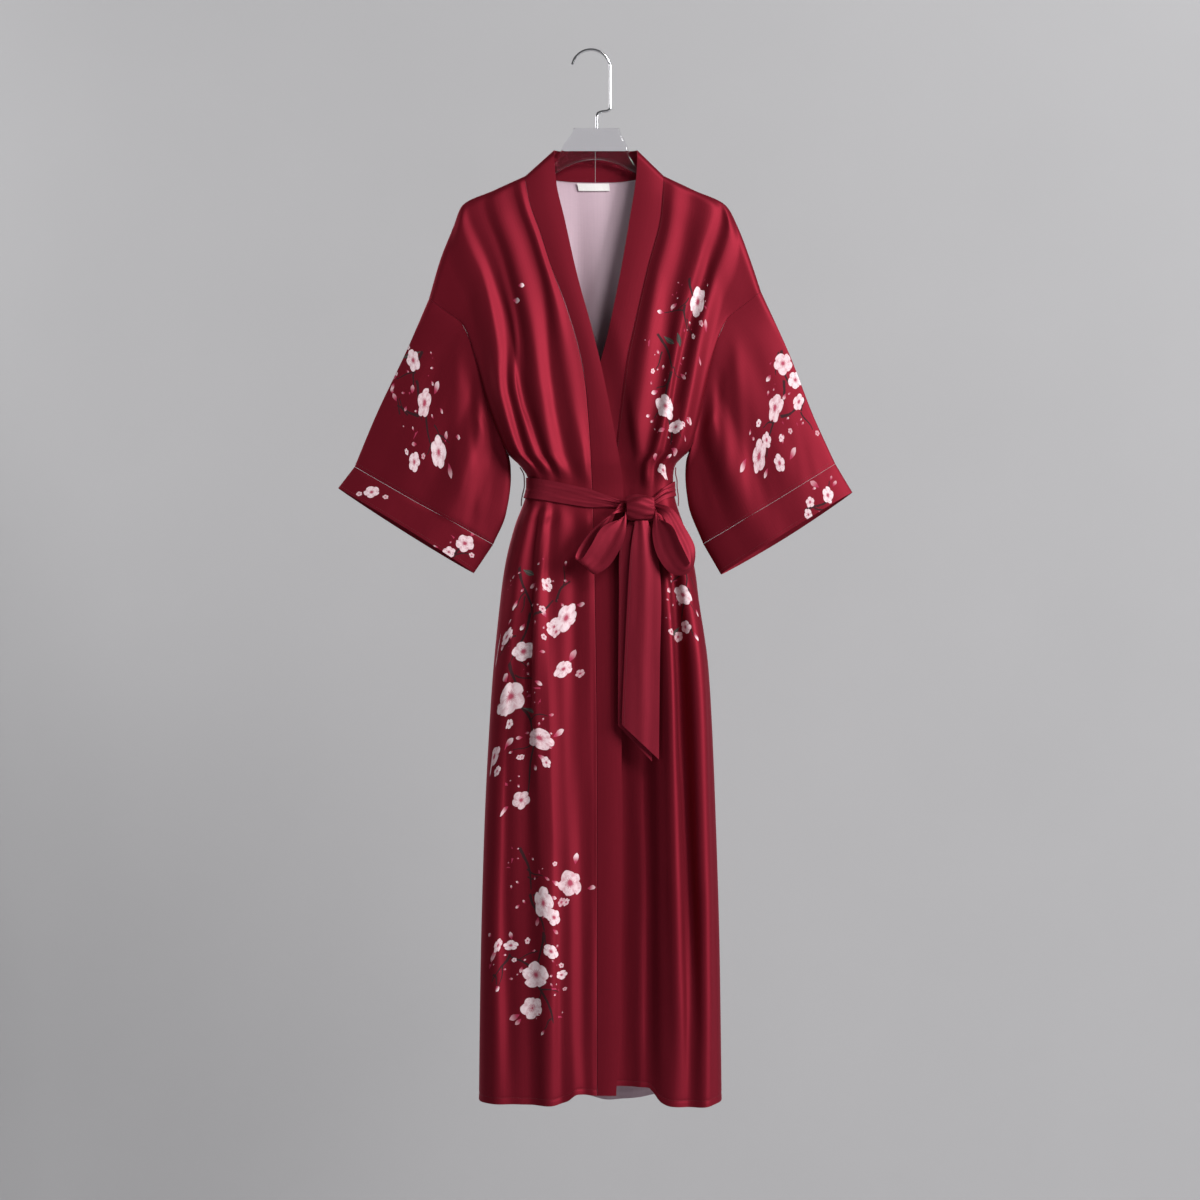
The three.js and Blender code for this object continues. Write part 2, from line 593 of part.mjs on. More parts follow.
for (const [name, sign] of [['right', 1], ['left', -1]]) {
  const { grid, normals, seamColumn } = fronts[name];
  const strip = frontRowsUp.map((i) => grid[i].slice(seamColumn));
  const seamNormals = frontRowsUp.map((i) => normals[i][seamColumn]);
  strip[strip.length - 1] = strip[strip.length - 1].map(([x, y, z]) => [x, 0, z]);
  const middle = backColumns.indexOf(7);
  const corner = backColumns.indexOf(sign > 0 ? neckColumns[0] : neckColumns[1]);
  const freeStart = strip[strip.length - 1][2][0];
  for (let j = corner + sign; (middle - j) * sign >= 0; j += sign) {
    const share = (j - corner) / (middle - corner);
    const low = [...backGrid[0][j]];
    const high = [lerp(freeStart, centreBack, share), freeBackRoll(share), neckTop];
    if (j === middle) {
      low[0] = centreBack;
    }
    strip.push([low, mix(low, high, 0.5), high]);
    seamNormals.push(backNormals[0][j]);
  }
  strip[strip.length - 1] = strip[strip.length - 1].map(([x, y, z]) => [x - sign * halfGap, y, z]);
  const stripNormals = gridNormals(strip, [0, -1, 0]);
  seamNormals.forEach((normal, i) => {
    stripNormals[i][0] = normal;
  });
  stripNormals[strip.length - 1] = stripNormals[strip.length - 1].map(([, y, z]) => unit([0, y, z]));
  const frontCount = frontRowsUp.length;
  const seamed = shiftSeam(strip, 0, 1, halfGap);
  seamed.forEach((point, i) => {
    strip[i][0] = i < frontCount ? point : add(point, [0, 0, 1], halfGap);
  });
  sew(`neckband_${name}`, wall(strip, moved(strip, stripNormals, -stripWall)), 'satin');
}

// Sleeves and cuffs share one run of rings, parted at the cuff seam.
const sleeveSteps = [0.05, 0.13, 0.25, 0.4, 0.55, 0.7, 0.85, 1];
const cuffSteps = [1, 1.5, 2];
const armRows = allRows.slice(0, underarmRow + 1);
const loopRows = [
  ...armRows.map((row) => [row, -1]),
  ...armRows.slice(1, -1).reverse().map((row) => [row, 1]),
];

for (const [name, sleeve] of [['right', rightSleeve], ['left', leftSleeve]]) {
  const { panel, inner } = fronts[name];
  const backColumn = name === 'right' ? 0 : backColumns.length - 1;
  const ringAt = (t) => loopRows.map(([row, half]) => sleevePoint(sleeve, row, t, half));
  const steps = [...sleeveSteps, ...cuffSteps.slice(1)];
  const rings = steps.map(ringAt);
  const armRing = (front, back) => loopRows.map(([row, half]) => {
    const point = half < 0 ? front[row][0] : back[row][backColumn];
    return row === 0 || row === underarmRow ? [point[0], 0, point[2]] : point;
  });
  const first = armRing(panel, backGrid);
  const firstInner = armRing(inner, backInner);
  const grid = [first, ...rings];
  const normals = gridNormals(grid, [0, -1, 0], true);
  const shifts = first.map((point, j) => unit(minus(grid[1][j], point)));
  const innerGrid = moved(grid, normals, -clothWall);
  innerGrid[0] = firstInner.map((point, j) => add(point, shifts[j], seamGap));
  grid[0] = first.map((point, j) => add(point, shifts[j], seamGap));
  const outwards = name === 'right' ? -1 : 1;
  innerGrid[0][underarmRow] = add(grid[0][underarmRow], [outwards * 0.6, 0, 0.8], clothWall);
  const seamRing = sleeveSteps.length;
  const sleeveEnd = grid[seamRing].map((point, j) => {
    const direction = unit(minus(grid[seamRing + 1][j], point));
    return [add(point, direction, -halfGap), add(point, direction, halfGap)];
  });
  const sleeveOuter = [...grid.slice(0, seamRing), sleeveEnd.map(([before]) => before)];
  const sleeveInner = [
    ...innerGrid.slice(0, seamRing),
    sleeveEnd.map(([before], j) => add(before, normals[seamRing][j], -clothWall)),
  ];
  sew(`sleeve_${name}`, wall(sleeveOuter, sleeveInner, true), 'satin');
  const cuffOuter = [sleeveEnd.map(([, after]) => after), ...grid.slice(seamRing + 1)];
  const cuffInner = moved(cuffOuter, normals.slice(seamRing), -stripWall);
  sew(`cuff_${name}`, wall(cuffOuter, cuffInner, true), 'satin');
}

// Belt round the waist, following the body's section at each height.
const rowAtZ = along(rows.map((row, i) => ({ z: row.seamZ, i })), 'z', 'i');
const beltSteps = [0, 1.5, 5, 11, 20, 32, 48, 62, 76, 89, 101.5];

function waistSection(z) {
  const half = (leftSide.edgeX(z) - rightSide.edgeX(z)) / 2;
  const middle = (leftSide.edgeX(z) + rightSide.edgeX(z)) / 2;
  return { half, middle, front: frontDepth(rowAtZ(z)), back: backDepth(rowAtZ(z)) };
}

function beltPoint(step, quarter, level) {
  const front = quarter === 0 || quarter === 3;
  const right = quarter === 0 || quarter === 1;
  const x = beltCentre + (right ? -1 : 1) * (beltHalfWidth - step);
  const blend = ease(step / 30);
  const sideZ = beltZ(x);
  const z = front
    ? sideZ + level * beltHalf(x)
    : lerp(sideZ, beltBackZ, blend) + level * lerp(beltHalf(x), beltBackHalf, blend);
  const section = waistSection(z);
  const share = (beltHalfWidth - step) / beltHalfWidth;
  const depth = turned(0, front ? section.front : section.back, step * (section.half / beltHalfWidth));
  return [section.middle + (right ? -1 : 1) * share * section.half, (front ? -1 : 1) * depth, z];
}

const beltLoop = [
  ...beltSteps.map((step) => [step, 0]),
  ...beltSteps.slice(0, -1).reverse().map((step) => [step, 3]),
  ...beltSteps.slice(1).map((step) => [step, 2]),
  ...beltSteps.slice(1, -1).reverse().map((step) => [step, 1]),
];
const beltLine = (level) => beltLoop.map(([step, quarter]) => beltPoint(step, quarter, level));
const beltBody = [1, 0, -1].map(beltLine);
const beltSlopes = gridNormals(beltBody, [0, -1, 0], true);
const beltNormals = beltSlopes.map((line) => line.map(([x, y]) => unit([x, y, 0])));
const beltInner = moved(beltBody, beltNormals, beltClear);
const beltOuter = moved(beltBody, beltNormals, beltClear + clothWall);
sew('belt_waist', wall(beltOuter, beltInner, true), 'belt');

// Ribbons: rows of a middle line, with the way and length of the cloth across it.
function ribbon(name, stations, count, cup) {
  const names = ['x', 'y', 'z', 'acrossX', 'acrossY', 'acrossZ'];
  const spots = stations.map((station, i) => i);
  const lines = names.map((column) => {
    const path = new THREE.CatmullRomCurve3(stations.map((row) => new THREE.Vector3(row[column], 0, 0)));
    return (t) => path.getPoint(t / (spots.length - 1)).x;
  });
  const columns = [-1, -0.5, 0, 0.5, 1];
  const grid = range(0, spots.length - 1, (spots.length - 1) / count).map((t) => {
    const [x, y, z, acrossX, acrossY, acrossZ] = lines.map((line) => line(t));
    return columns.map((c) => {
      const bow = cup * (1 - c * c);
      return [x + (acrossX * c) / 2, y - bow + (acrossY * c) / 2, z + (acrossZ * c) / 2];
    });
  });
  const normals = gridNormals(grid, [0, -1, 0]);
  sew(name, wall(moved(grid, normals, ribbonWall / 2), moved(grid, normals, -ribbonWall / 2)), 'belt');
}

const ribbonColumns = 'x y z acrossX acrossY acrossZ';
ribbon('bow_loop_right', table(ribbonColumns, [
  [48.7, -41, -640, 0, 2, 12],
  [34, -52, -645, 8, 10, 12],
  [14, -56, -672, 20, 14, -4],
  [-2, -57, -700, 24, 14, -14],
  [-10, -61, -719, 22, 12, -18],
  [-2, -66, -722, 22, 8, -20],
  [14, -66, -706, 30, 8, -22],
  [32, -63, -674, 30, 8, -14],
  [48.7, -52, -648, 0, 2, 14],
]), 20, 0);
ribbon('bow_loop_left', table(ribbonColumns, [
  [89.4, -41, -640, 0, 2, 12],
  [106, -52, -648, 14, 10, 10],
  [120, -56, -672, 20, 14, 8],
  [134, -58, -702, 20, 14, 8],
  [136, -62, -722, 4, 14, -14],
  [124, -66, -724, -22, 8, -18],
  [108, -66, -700, -30, 8, -20],
  [98, -62, -672, -26, 8, -12],
  [89.4, -52, -648, 0, 2, 14],
]), 20, 0);
ribbon('belt_tail_front', table(ribbonColumns, [
  [70, -50.5, -659, 18, 1, 0],
  [73, -54, -700, 36, 4, 0],
  [74, -54, -757, 46, 4, 0],
  [71, -53, -848, 49, 3, -2],
  [69, -53, -925, 51, 3, -20],
  [68.5, -53, -965, 51, 3, -48],
]), 10, 2);
ribbon('belt_tail_back', table(ribbonColumns, [
  [58, -44.5, -660.6, 12, 1, 0],
  [57, -48.5, -700, 34, 2, 0],
  [61, -48.5, -757, 44, 2, 0],
  [61, -48.5, -848, 46, 2, -2],
  [61, -48.5, -925, 47, 2, -20],
  [61, -48.5, -967, 47, 2, -50],
]), 10, 1);

// The knot: the belt wrapped once over itself, open to both sides.
const knot = {
  x: 68.5, y: -45.6, z: -642, halfX: 19, radiusY: 14, radiusZ: 19,
  backFlat: 0.85, creases: 5, creaseDepth: 0.06,
};
const knotLines = [-1, -0.72, -0.35, 0, 0.35, 0.72, 1].map((share) => range(0, 19, 1).map((i) => {
  const angle = (i / 20) * Math.PI * 2;
  const crease = knot.creaseDepth * Math.cos(knot.creases * angle + 2.2 * share);
  const swell = 1 - 0.22 * share * share + crease;
  const flat = Math.cos(angle) > 0 ? knot.backFlat : 1;
  return [
    knot.x + share * knot.halfX,
    knot.y + knot.radiusY * flat * swell * Math.cos(angle),
    knot.z + knot.radiusZ * swell * Math.sin(angle),
  ];
}));
const knotNormals = gridNormals(knotLines, [0, 0, 1], true);
sew('belt_knot', wall(knotLines, moved(knotLines, knotNormals, -clothWall), true), 'belt');

// Thread carriers that hold the belt at each side seam.
function threadPath(points, radius, steps, sides) {
  const path = new THREE.CatmullRomCurve3(points.map((point) => new THREE.Vector3(...point)));
  const shape = new THREE.Shape(range(0, sides - 1, 1).map((i) => {
    const angle = (i / sides) * Math.PI * 2;
    return new THREE.Vector2(radius * Math.cos(angle), radius * Math.sin(angle));
  }));
  return new THREE.ExtrudeGeometry(shape, { steps, extrudePath: path, bevelEnabled: false });
}

const carrier = table('z stand', [
  [-583, 1], [-592, 2.5], [-601, 4.6], [-611, 4.8], [-622, 4.7], [-630, 3.2], [-637, 1],
]);
for (const [name, side, sign] of [['right', rightSide, -1], ['left', leftSide, 1]]) {
  const points = carrier.map(({ z, stand }) => [side.edgeX(z) + sign * (stand + pinRadius), 0, z]);
  sew(`belt_carrier_${name}`, threadPath(points, pinRadius, 14, 6), 'satin');
}

// Label inside the back of the neck, under the band.
const labelColumns = range(6.2, 7.6, 0.35);
const labelRows = [0.7, 1.6, 2.25];
const labelWall = 0.9;
const labelOuter = labelRows.map((row) => labelColumns.map((c) => backPoint(c, row)));
const labelBack = labelOuter.map((line) => line.map((point) => add(point, [0, -1, 0], clothWall + 0.6)));
const labelFace = labelBack.map((line) => line.map((point) => add(point, [0, -1, 0], labelWall)));
sew('neck_label', wall(labelFace, labelBack), 'label');

// Hanger: a moulded clear plate with arms under the shoulders.
const plate = { topLeft: -24, topRight: 39, top: -108, flareLeft: -41, flareRight: 52, flare: -138 };
const outline = new THREE.Shape();
const armLine = (side, share) => {
  const [x, z] = shoulderPoint(side, share);
  const slope = unit(minus(shoulderPoint(side, share + 0.01), shoulderPoint(side, share - 0.01)));
  const flip = Math.sign(slope[0]);
  const drop = hangerDrop + tipDrop * ease((0.82 - share) / 0.1);
  return [x + drop * slope[1] * flip, z - drop * slope[0] * flip];
};
const rightTip = armLine(rightSide, 0.64);
const leftTip = armLine(leftSide, 0.63);
outline.moveTo(plate.topLeft, plate.top);
outline.bezierCurveTo(-28, -122, -39, -126, plate.flareLeft, plate.flare);
outline.bezierCurveTo(-46, -160, -66, -180, ...armLine(rightSide, 0.92));
for (const share of [0.86, 0.8, 0.72]) outline.lineTo(...armLine(rightSide, share));
outline.lineTo(rightTip[0] + 4, rightTip[1] + 0.6);
const nearTip = (tip, x, z) => [tip[0] + x, tip[1] + z];
const roundTip = (tip, places) => outline.bezierCurveTo(...places.flatMap(([x, z]) => nearTip(tip, x, z)));
roundTip(rightTip, [[-3, -2], [-5, -9], [1, -14]]);
outline.lineTo(-90, -196);
outline.bezierCurveTo(-60, -183, -34, -152, centreBack, -152);
outline.bezierCurveTo(46, -152, 72, -183, 100, -194);
outline.lineTo(leftTip[0] - 1, leftTip[1] - 14);
roundTip(leftTip, [[5, -9], [3, -2], [-4, 0.6]]);
for (const share of [0.72, 0.8, 0.86]) outline.lineTo(...armLine(leftSide, share));
outline.lineTo(...armLine(leftSide, 0.92));
outline.bezierCurveTo(78, -180, 57, -160, plate.flareRight, plate.flare);
outline.bezierCurveTo(50, -126, 43, -122, plate.topRight, plate.top);
outline.closePath();
const hangerRound = 3.4;
const hangerGeometry = new THREE.ExtrudeGeometry(outline, {
  depth: 2 * (hangerHalf - hangerRound),
  bevelThickness: hangerRound,
  bevelSize: hangerRound,
  bevelOffset: -hangerRound,
  bevelSegments: 2,
  curveSegments: 6,
});
hangerGeometry.translate(0, 0, hangerRound - hangerHalf);
hangerGeometry.rotateX(Math.PI / 2);
sew('hanger_body', hangerGeometry, 'clear', { roughness: 0.05 });

const hook = {
  radius: 27, centreX: 0, centreZ: -25, straightX: 27, bendZ: -78, footX: 8, footZ: plate.top + seamGap,
};
const arc = range(0, 8, 1).map((i) => {
  const angle = lerp(Math.PI * 0.93, 0, i / 8);
  return [hook.centreX + hook.radius * Math.cos(angle), 0, hook.centreZ + hook.radius * Math.sin(angle)];
});
const hookPoints = [
  ...arc,
  [hook.straightX, 0, -50],
  [hook.straightX, 0, hook.bendZ + 4],
  [hook.straightX - 5, 0, hook.bendZ - 5],
  [hook.footX + 6, 0, hook.bendZ - 8],
  [hook.footX + 0.5, 0, hook.bendZ - 14],
  [hook.footX, 0, hook.footZ],
];
sew('hanger_hook', threadPath(hookPoints, wireRadius, 52, 10), 'wire', { metalness: 1, roughness: 0.12 });

export default garment;
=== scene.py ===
import math
import random

import bpy
import numpy as np
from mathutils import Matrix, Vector, noise


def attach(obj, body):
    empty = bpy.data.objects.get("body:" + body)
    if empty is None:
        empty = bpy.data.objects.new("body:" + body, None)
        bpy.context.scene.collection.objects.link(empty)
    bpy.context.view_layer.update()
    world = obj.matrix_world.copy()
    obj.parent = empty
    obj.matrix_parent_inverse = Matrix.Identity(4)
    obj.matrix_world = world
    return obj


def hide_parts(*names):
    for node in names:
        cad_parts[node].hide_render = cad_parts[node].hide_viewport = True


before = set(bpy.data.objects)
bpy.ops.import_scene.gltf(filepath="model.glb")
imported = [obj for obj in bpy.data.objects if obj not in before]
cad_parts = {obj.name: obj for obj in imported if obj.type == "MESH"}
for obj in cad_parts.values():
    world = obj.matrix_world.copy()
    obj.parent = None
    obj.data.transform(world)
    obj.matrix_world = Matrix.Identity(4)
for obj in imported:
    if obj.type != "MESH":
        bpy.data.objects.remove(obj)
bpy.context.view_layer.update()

# Satin robe on a clear hanger. The tables are in millimetres, as cut; meshes are made in metres.
mm = 0.001

robe = {
    "wall": 0.9,  # thickness of the shown cloth
    "bandWall": 1.7,
    "seamGap": 0.38,
    "rollRadius": 9,
    "sideRadius": 26,
    "crownRadius": 120,
    "lapDepth": 7,
    "lapAtBelt": 3.6,
    "lapFade": 35,
    "rowStep": 6.5,  # grid spacing down the cloth
    "columnsPerFold": 8,
    "ripple": 0.55,  # height of the small uneven waves
    "bodice": 0.4,  # share of the creases' height above the belt
    "groove": 0.8,  # how far the cloth dips at a seam
    "cuffSlip": 0.07,  # how far the back of a cuff hangs below its front
}
belt = {
    "centre": 13.5,
    "halfWidth": 101.5,
    "clear": 1.7,
    "press": 0.14,
    "reach": 16,
    "fade": 20,
    "wall": 1.2,
    "ribbonWall": 1.1,
    "creases": 1.5,
}
stitching = {"length": 2.2, "pitch": 3.2, "thread": 0.22, "lift": 0.12, "hemInset": 9}
satin = {
    "colour": (0.172, 0.0090, 0.0195),
    "belt": (0.200, 0.0130, 0.0265),
    "reverse": (0.56, 0.405, 0.47),
    "roughness": 0.56,
    "metallic": 0.68,
    "specular": 0.25,
    "tint": (1.0, 0.45, 0.52),
    "sheen": (1.0, 0.40, 0.48),
    "anisotropic": 0.25,
    "weave": 0.05,
}
printing = {
    "petal": (0.80, 0.66, 0.69),
    "heart": (0.36, 0.030, 0.075),
    "leaf": (0.030, 0.034, 0.028),
    "twig": (0.030, 0.010, 0.012),
    "rib": (0.22, 0.21, 0.19),
    "bloom": 1.18,  # size of the flowers
    "nearest": 25,  # a stamp further than this from a piece isn't pressed on it
    "margin": 4.5,  # cloth taken in round each stamp
    "seed": 11,
}
room = {
    "wall": (0.412, 0.409, 0.418),
    "floorZ": -2.15,
    "wallY": 1.2,
    "key": 1000.0,
    "top": 60.0,
    "fill": 10.0,
    "wallLight": 13.0,
    "back": 40.0,
    "world": 0.10,
}


def clamp(value, low, high):
    return min(high, max(low, value))


def lerp(a, b, t):
    return a + (b - a) * t


def mix(a, b, t):
    return [lerp(p, q, t) for p, q in zip(a, b)]


def ease(t):
    s = clamp(t, 0, 1)
    return s * s * (3 - 2 * s)


def easeAll(t):
    s = np.clip(t, 0, 1)
    return s * s * (3 - 2 * s)


def quarterRound(t):
    return math.sqrt(1 - (1 - clamp(t, 0, 1)) ** 2)


def unit(a):
    return a / (np.linalg.norm(a, axis=-1, keepdims=True) + 1e-12)


def table(columns, rows):
    names = columns.split()
    return [dict(zip(names, row)) for row in rows]


# A curve through values at places, which never overshoots them.
def curve(places, values):
    last = len(places) - 1
    slopes = [(values[i + 1] - values[i]) / (places[i + 1] - places[i]) for i in range(last)]
    tangents = [slopes[0]]
    for before, after in zip(slopes, slopes[1:]):
        tangents.append(0 if before * after <= 0 else 2 * before * after / (before + after))
    tangents.append(slopes[-1])

    def at(place):
        place = clamp(place, places[0], places[last])
        i = 0
        while i < last - 1 and place > places[i + 1]:
            i += 1
        span = places[i + 1] - places[i]
        t = (place - places[i]) / span
        bend = tangents[i] * (1 - t) - tangents[i + 1] * t
        chord = (values[i + 1] - values[i]) * (2 * t - 1)
        return lerp(values[i], values[i + 1], t) + t * (1 - t) * (bend * span + chord)

    return at


def along(rows, start, end):
    ordered = sorted(rows, key=lambda row: row[start])
    return curve([row[start] for row in ordered], [row[end] for row in ordered])


# Rows of the cloth from shoulder to hem.
rows = table("arm seamZ freeZ front back", [
    (0, -175, -139, 9, 9), (0.0095, -178, -143, 9, 9), (0.028, -185, -151, 9.5, 9.5),
    (0.1, -205, -190, 12, 10.5), (0.2, -247, -240, 15, 12), (0.32, -295, -293, 19, 14),
    (0.44, -348, -348, 23, 17), (0.56, -404, -404, 27, 20), (0.68, -455, -455, 30, 23),
    (0.8, -500, -500, 32, 26), (0.9, -535, -535, 33, 28), (0.965, -553, -553, 33, 29),
    (1, -566, -566, 33, 29), (1, -577, -577, 33, 29), (1, -588, -588, 32, 28),
    (1, -599, -599, 31, 27), (1, -611, -611, 30, 27), (1, -624, -624, 30, 27),
    (1, -637, -637, 30.5, 27.5), (1, -655, -655, 32, 29), (1, -685, -685, 34, 31),
    (1, -725, -725, 36, 33), (1, -775, -775, 38, 35), (1, -840, -840, 39, 36),
    (1, -910, -910, 40, 37), (1, -1000, -1000, 41, 38), (1, -1100, -1100, 42, 39),
    (1, -1200, -1200, 43, 40), (1, -1300, -1300, 44, 41), (1, -1390, -1390, 45, 42),
    (1, -1467, -1467, 45, 42),
])
underarmRow = 12
hemRow = len(rows) - 1
flatRow = 8
rowPlaces = list(range(len(rows)))


def rowCurve(name):
    return curve(rowPlaces, [row[name] for row in rows])


seamZ, freeZ = rowCurve("seamZ"), rowCurve("freeZ")
frontDepth, backDepth, armShare = rowCurve("front"), rowCurve("back"), rowCurve("arm")


def shoulderFade(row):
    return ease(1 - row / flatRow)


def shoulderRoll(row):
    drop = 3.2 * row if row < 1 else 3.2 + 6.4 * (row - 1)
    return quarterRound(drop / robe["rollRadius"])


rightSide = {
    "shoulder": table("share x z", [
        (0, -227, -347), (0.24, -211, -292), (0.45, -193, -247), (0.59, -180, -216),
        (0.8, -136, -195), (1, -92, -175),
    ]),
    "edge": table("z x", [
        (-347, -227), (-365, -203), (-384, -179), (-432, -161), (-488, -146), (-534, -130),
        (-566, -115), (-577, -103), (-589, -93), (-600, -88), (-611, -88), (-626, -92),
        (-666, -107), (-718, -120), (-768, -127), (-908, -140), (-1105, -150), (-1301, -155),
        (-1467, -157),
    ]),
    "seam": table("z x", [
        (-175, -92), (-185, -91), (-215, -85), (-254, -71), (-298, -57), (-367, -32),
        (-436, -13), (-481, -6), (-608, 2), (-768, 6), (-1048, 9), (-1467, 9),
    ]),
    "free": table("z x", [
        (-139, -52), (-166, -50), (-181, -49), (-240, -36), (-312, -20), (-404, 5),
        (-450, 16), (-520, 30), (-590, 42), (-624, 45), (-908, 43), (-1328, 41), (-1467, 35),
    ]),
    "underarmZ": -566,
}
leftSide = {
    "shoulder": table("share x z", [
        (0, 238, -337), (0.21, 223, -292), (0.42, 206, -247), (0.58, 188, -215),
        (0.8, 144, -194), (1, 102, -174),
    ]),
    "edge": table("z x", [
        (-337, 238), (-356, 214), (-376, 190), (-421, 172), (-481, 158), (-530, 147),
        (-561, 137), (-572, 124), (-582, 117), (-596, 115), (-611, 115), (-628, 118),
        (-671, 132), (-729, 146), (-768, 151), (-859, 164), (-936, 169), (-1055, 174),
        (-1252, 180), (-1467, 183),
    ]),
    "seam": table("z x", [
        (-175, 102), (-185, 101), (-232, 97), (-307, 78), (-404, 56), (-432, 50),
        (-534, 37), (-614, 28), (-768, 20), (-1188, 13), (-1467, 10),
    ]),
    "free": table("z x", [
        (-139, 65), (-166, 64), (-179, 63), (-236, 54), (-307, 42), (-404, 22), (-439, 13),
        (-534, 1), (-614, -8), (-768, -13), (-1188, -20), (-1467, -22),
    ]),
    "underarmZ": -561,
}

for side in (rightSide, leftSide):
    dropZ = side["shoulder"][0]["z"]
    heights = [
        lerp(dropZ, side["underarmZ"], row["arm"]) if i <= underarmRow else row["seamZ"]
        for i, row in enumerate(rows)
    ]
    side["edgeZ"] = curve(rowPlaces, heights)
    for name in ("edge", "seam", "free"):
        side[name + "X"] = along(side[name], "z", "x")
    side["shoulderX"] = along(side["shoulder"], "share", "x")
    side["shoulderZ"] = along(side["shoulder"], "share", "z")

beltFront = table("x z half", [
    (-92, -611, 14), (-60, -616, 14), (-7, -626, 13), (20, -631, 9), (43, -635, 5.5),
    (81, -632, 5.5), (100, -620, 7.5), (119, -611, 11),
])
beltZ = along(beltFront, "x", "z")
beltHalf = along(beltFront, "x", "half")
beltBack = {"z": -611, "half": 13}


def pressed(z, middle):
    return lerp(belt["press"], 1, ease((abs(z - middle) - belt["reach"]) / belt["fade"]))


# Folds, one row each from the side towards the middle, at nine levels down the cloth.
levels = [0, 5, 8, 12, 16.5, 20, 24, 27, 30]
rightFolds = {
    "place": [
        (0.48, 0.05, 0.05, 0.05, 0.05, 0.05, 0.05, 0.05, 0.05),
        (0.6, 0.31, 0.14, 0.13, 0.14, 0.16, 0.17, 0.18, 0.2),
        (0.69, 0.45, 0.23, 0.22, 0.24, 0.28, 0.35, 0.4, 0.44),
        (0.74, 0.54, 0.31, 0.32, 0.33, 0.37, 0.44, 0.54, 0.58),
        (0.77, 0.6, 0.38, 0.42, 0.43, 0.48, 0.56, 0.66, 0.7),
        (0.82, 0.7, 0.54, 0.52, 0.54, 0.6, 0.68, 0.76, 0.8),
        (0.92, 0.88, 0.68, 0.7, 0.72, 0.78, 0.82, 0.87, 0.9),
        (0.96, 0.95, 0.84, 0.9, 0.9, 0.92, 0.94, 0.95, 0.96),
    ],
    "rise": [
        (0, 0, 0, 0, 0, 0, 0, 0, 0),
        (0, 8, 8, 7, 5, 4, 4, 4, 4),
        (0, 0, 0, 0, 0, 0, 0, 0, 0),
        (0, 1, 5, 6, 6, 7, 9, 8, 7),
        (0, 0.5, 1, 1, 1, 1, 3, 3, 2),
        (0, 7, 9, 8, 6, 4, 4, 5, 5),
        (0, 0, 1, 0, 0, 0, 0, 0, 0),
        (0, 4, 5, 5, 3, 2, 1, 1, 1),
    ],
}
leftFolds = {
    "place": [
        (0.5, 0.06, 0.05, 0.05, 0.05, 0.04, 0.04, 0.04, 0.04),
        (0.62, 0.25, 0.18, 0.19, 0.16, 0.13, 0.12, 0.13, 0.15),
        (0.68, 0.4, 0.36, 0.34, 0.3, 0.26, 0.26, 0.27, 0.28),
        (0.75, 0.52, 0.43, 0.45, 0.42, 0.36, 0.38, 0.38, 0.4),
        (0.85, 0.7, 0.54, 0.57, 0.56, 0.56, 0.6, 0.6, 0.56),
        (0.93, 0.88, 0.78, 0.78, 0.78, 0.8, 0.82, 0.82, 0.8),
    ],
    "rise": [
        (0, 0, 0, 0, 0, 0, 0, 0, 0),
        (0, 8, 8, 7, 5, 4, 5, 5, 5),
        (0, 0, 0, 0, 0, 0, 0, 0, 0),
        (0, 7, 7, 8, 6, 7, 10, 9, 8),
        (0, 0, 0, 0, 0, 0, 0, 0, 0),
        (0, 6, 8, 6, 3, 2, 1, 1, 1),
    ],
}
backFolds = {
    "place": [
        (0.055, 0.05, 0.05, 0.05, 0.05, 0.05, 0.05, 0.05, 0.05),
        (0.12, 0.11, 0.12, 0.13, 0.14, 0.13, 0.12, 0.13, 0.13),
        (0.171, 0.19, 0.2, 0.21, 0.23, 0.21, 0.2, 0.22, 0.22),
        (0.29, 0.28, 0.29, 0.31, 0.32, 0.3, 0.29, 0.31, 0.32),
        (0.36, 0.36, 0.36, 0.38, 0.39, 0.38, 0.36, 0.38, 0.39),
        (0.43, 0.44, 0.43, 0.44, 0.45, 0.44, 0.44, 0.45, 0.46),
        (0.5, 0.51, 0.5, 0.5, 0.5, 0.51, 0.52, 0.52, 0.52),
        (0.57, 0.58, 0.57, 0.56, 0.56, 0.57, 0.59, 0.58, 0.58),
        (0.64, 0.65, 0.64, 0.62, 0.62, 0.63, 0.65, 0.66, 0.65),
        (0.71, 0.72, 0.71, 0.69, 0.69, 0.7, 0.72, 0.73, 0.72),
        (0.832, 0.81, 0.79, 0.78, 0.77, 0.78, 0.8, 0.8, 0.8),
        (0.88, 0.88, 0.87, 0.87, 0.86, 0.87, 0.88, 0.88, 0.88),
        (0.945, 0.95, 0.95, 0.95, 0.95, 0.95, 0.95, 0.95, 0.95),
    ],
    "rise": [
        (0, 0, 0, 0, 0, 0, 0, 0, 0),
        (0, 4, 5, 5, 4, 4, 5, 5, 5),
        (0, 0, 0, 0, 0, 0, 0, 0, 0),
        (0, 5, 7, 7, 5, 6, 8, 7, 6),
        (0, 0, 0, 0, 0, 1, 0, 0, 0),
        (0, 3, 4, 6, 5, 5, 6, 7, 7),
        (0, 0, 0, 0, 0, 0, 0, 1, 1),
        (0, 4, 6, 7, 5, 7, 9, 8, 8),
        (0, 0, 0, 0, 0, 0, 0, 0, 0),
        (0, 5, 6, 5, 4, 4, 5, 6, 5),
        (0, 0, 0, 0, 0, 0, 0, 0, 0),
        (0, 4, 5, 5, 4, 5, 7, 6, 6),
        (0, 0, 0, 0, 0, 0, 0, 0, 0),
    ],
}
for folds in (rightFolds, leftFolds, backFolds):
    folds["placeAt"] = [curve(levels, fold) for fold in folds["place"]]
    folds["riseAt"] = [curve(levels, fold) for fold in folds["rise"]]


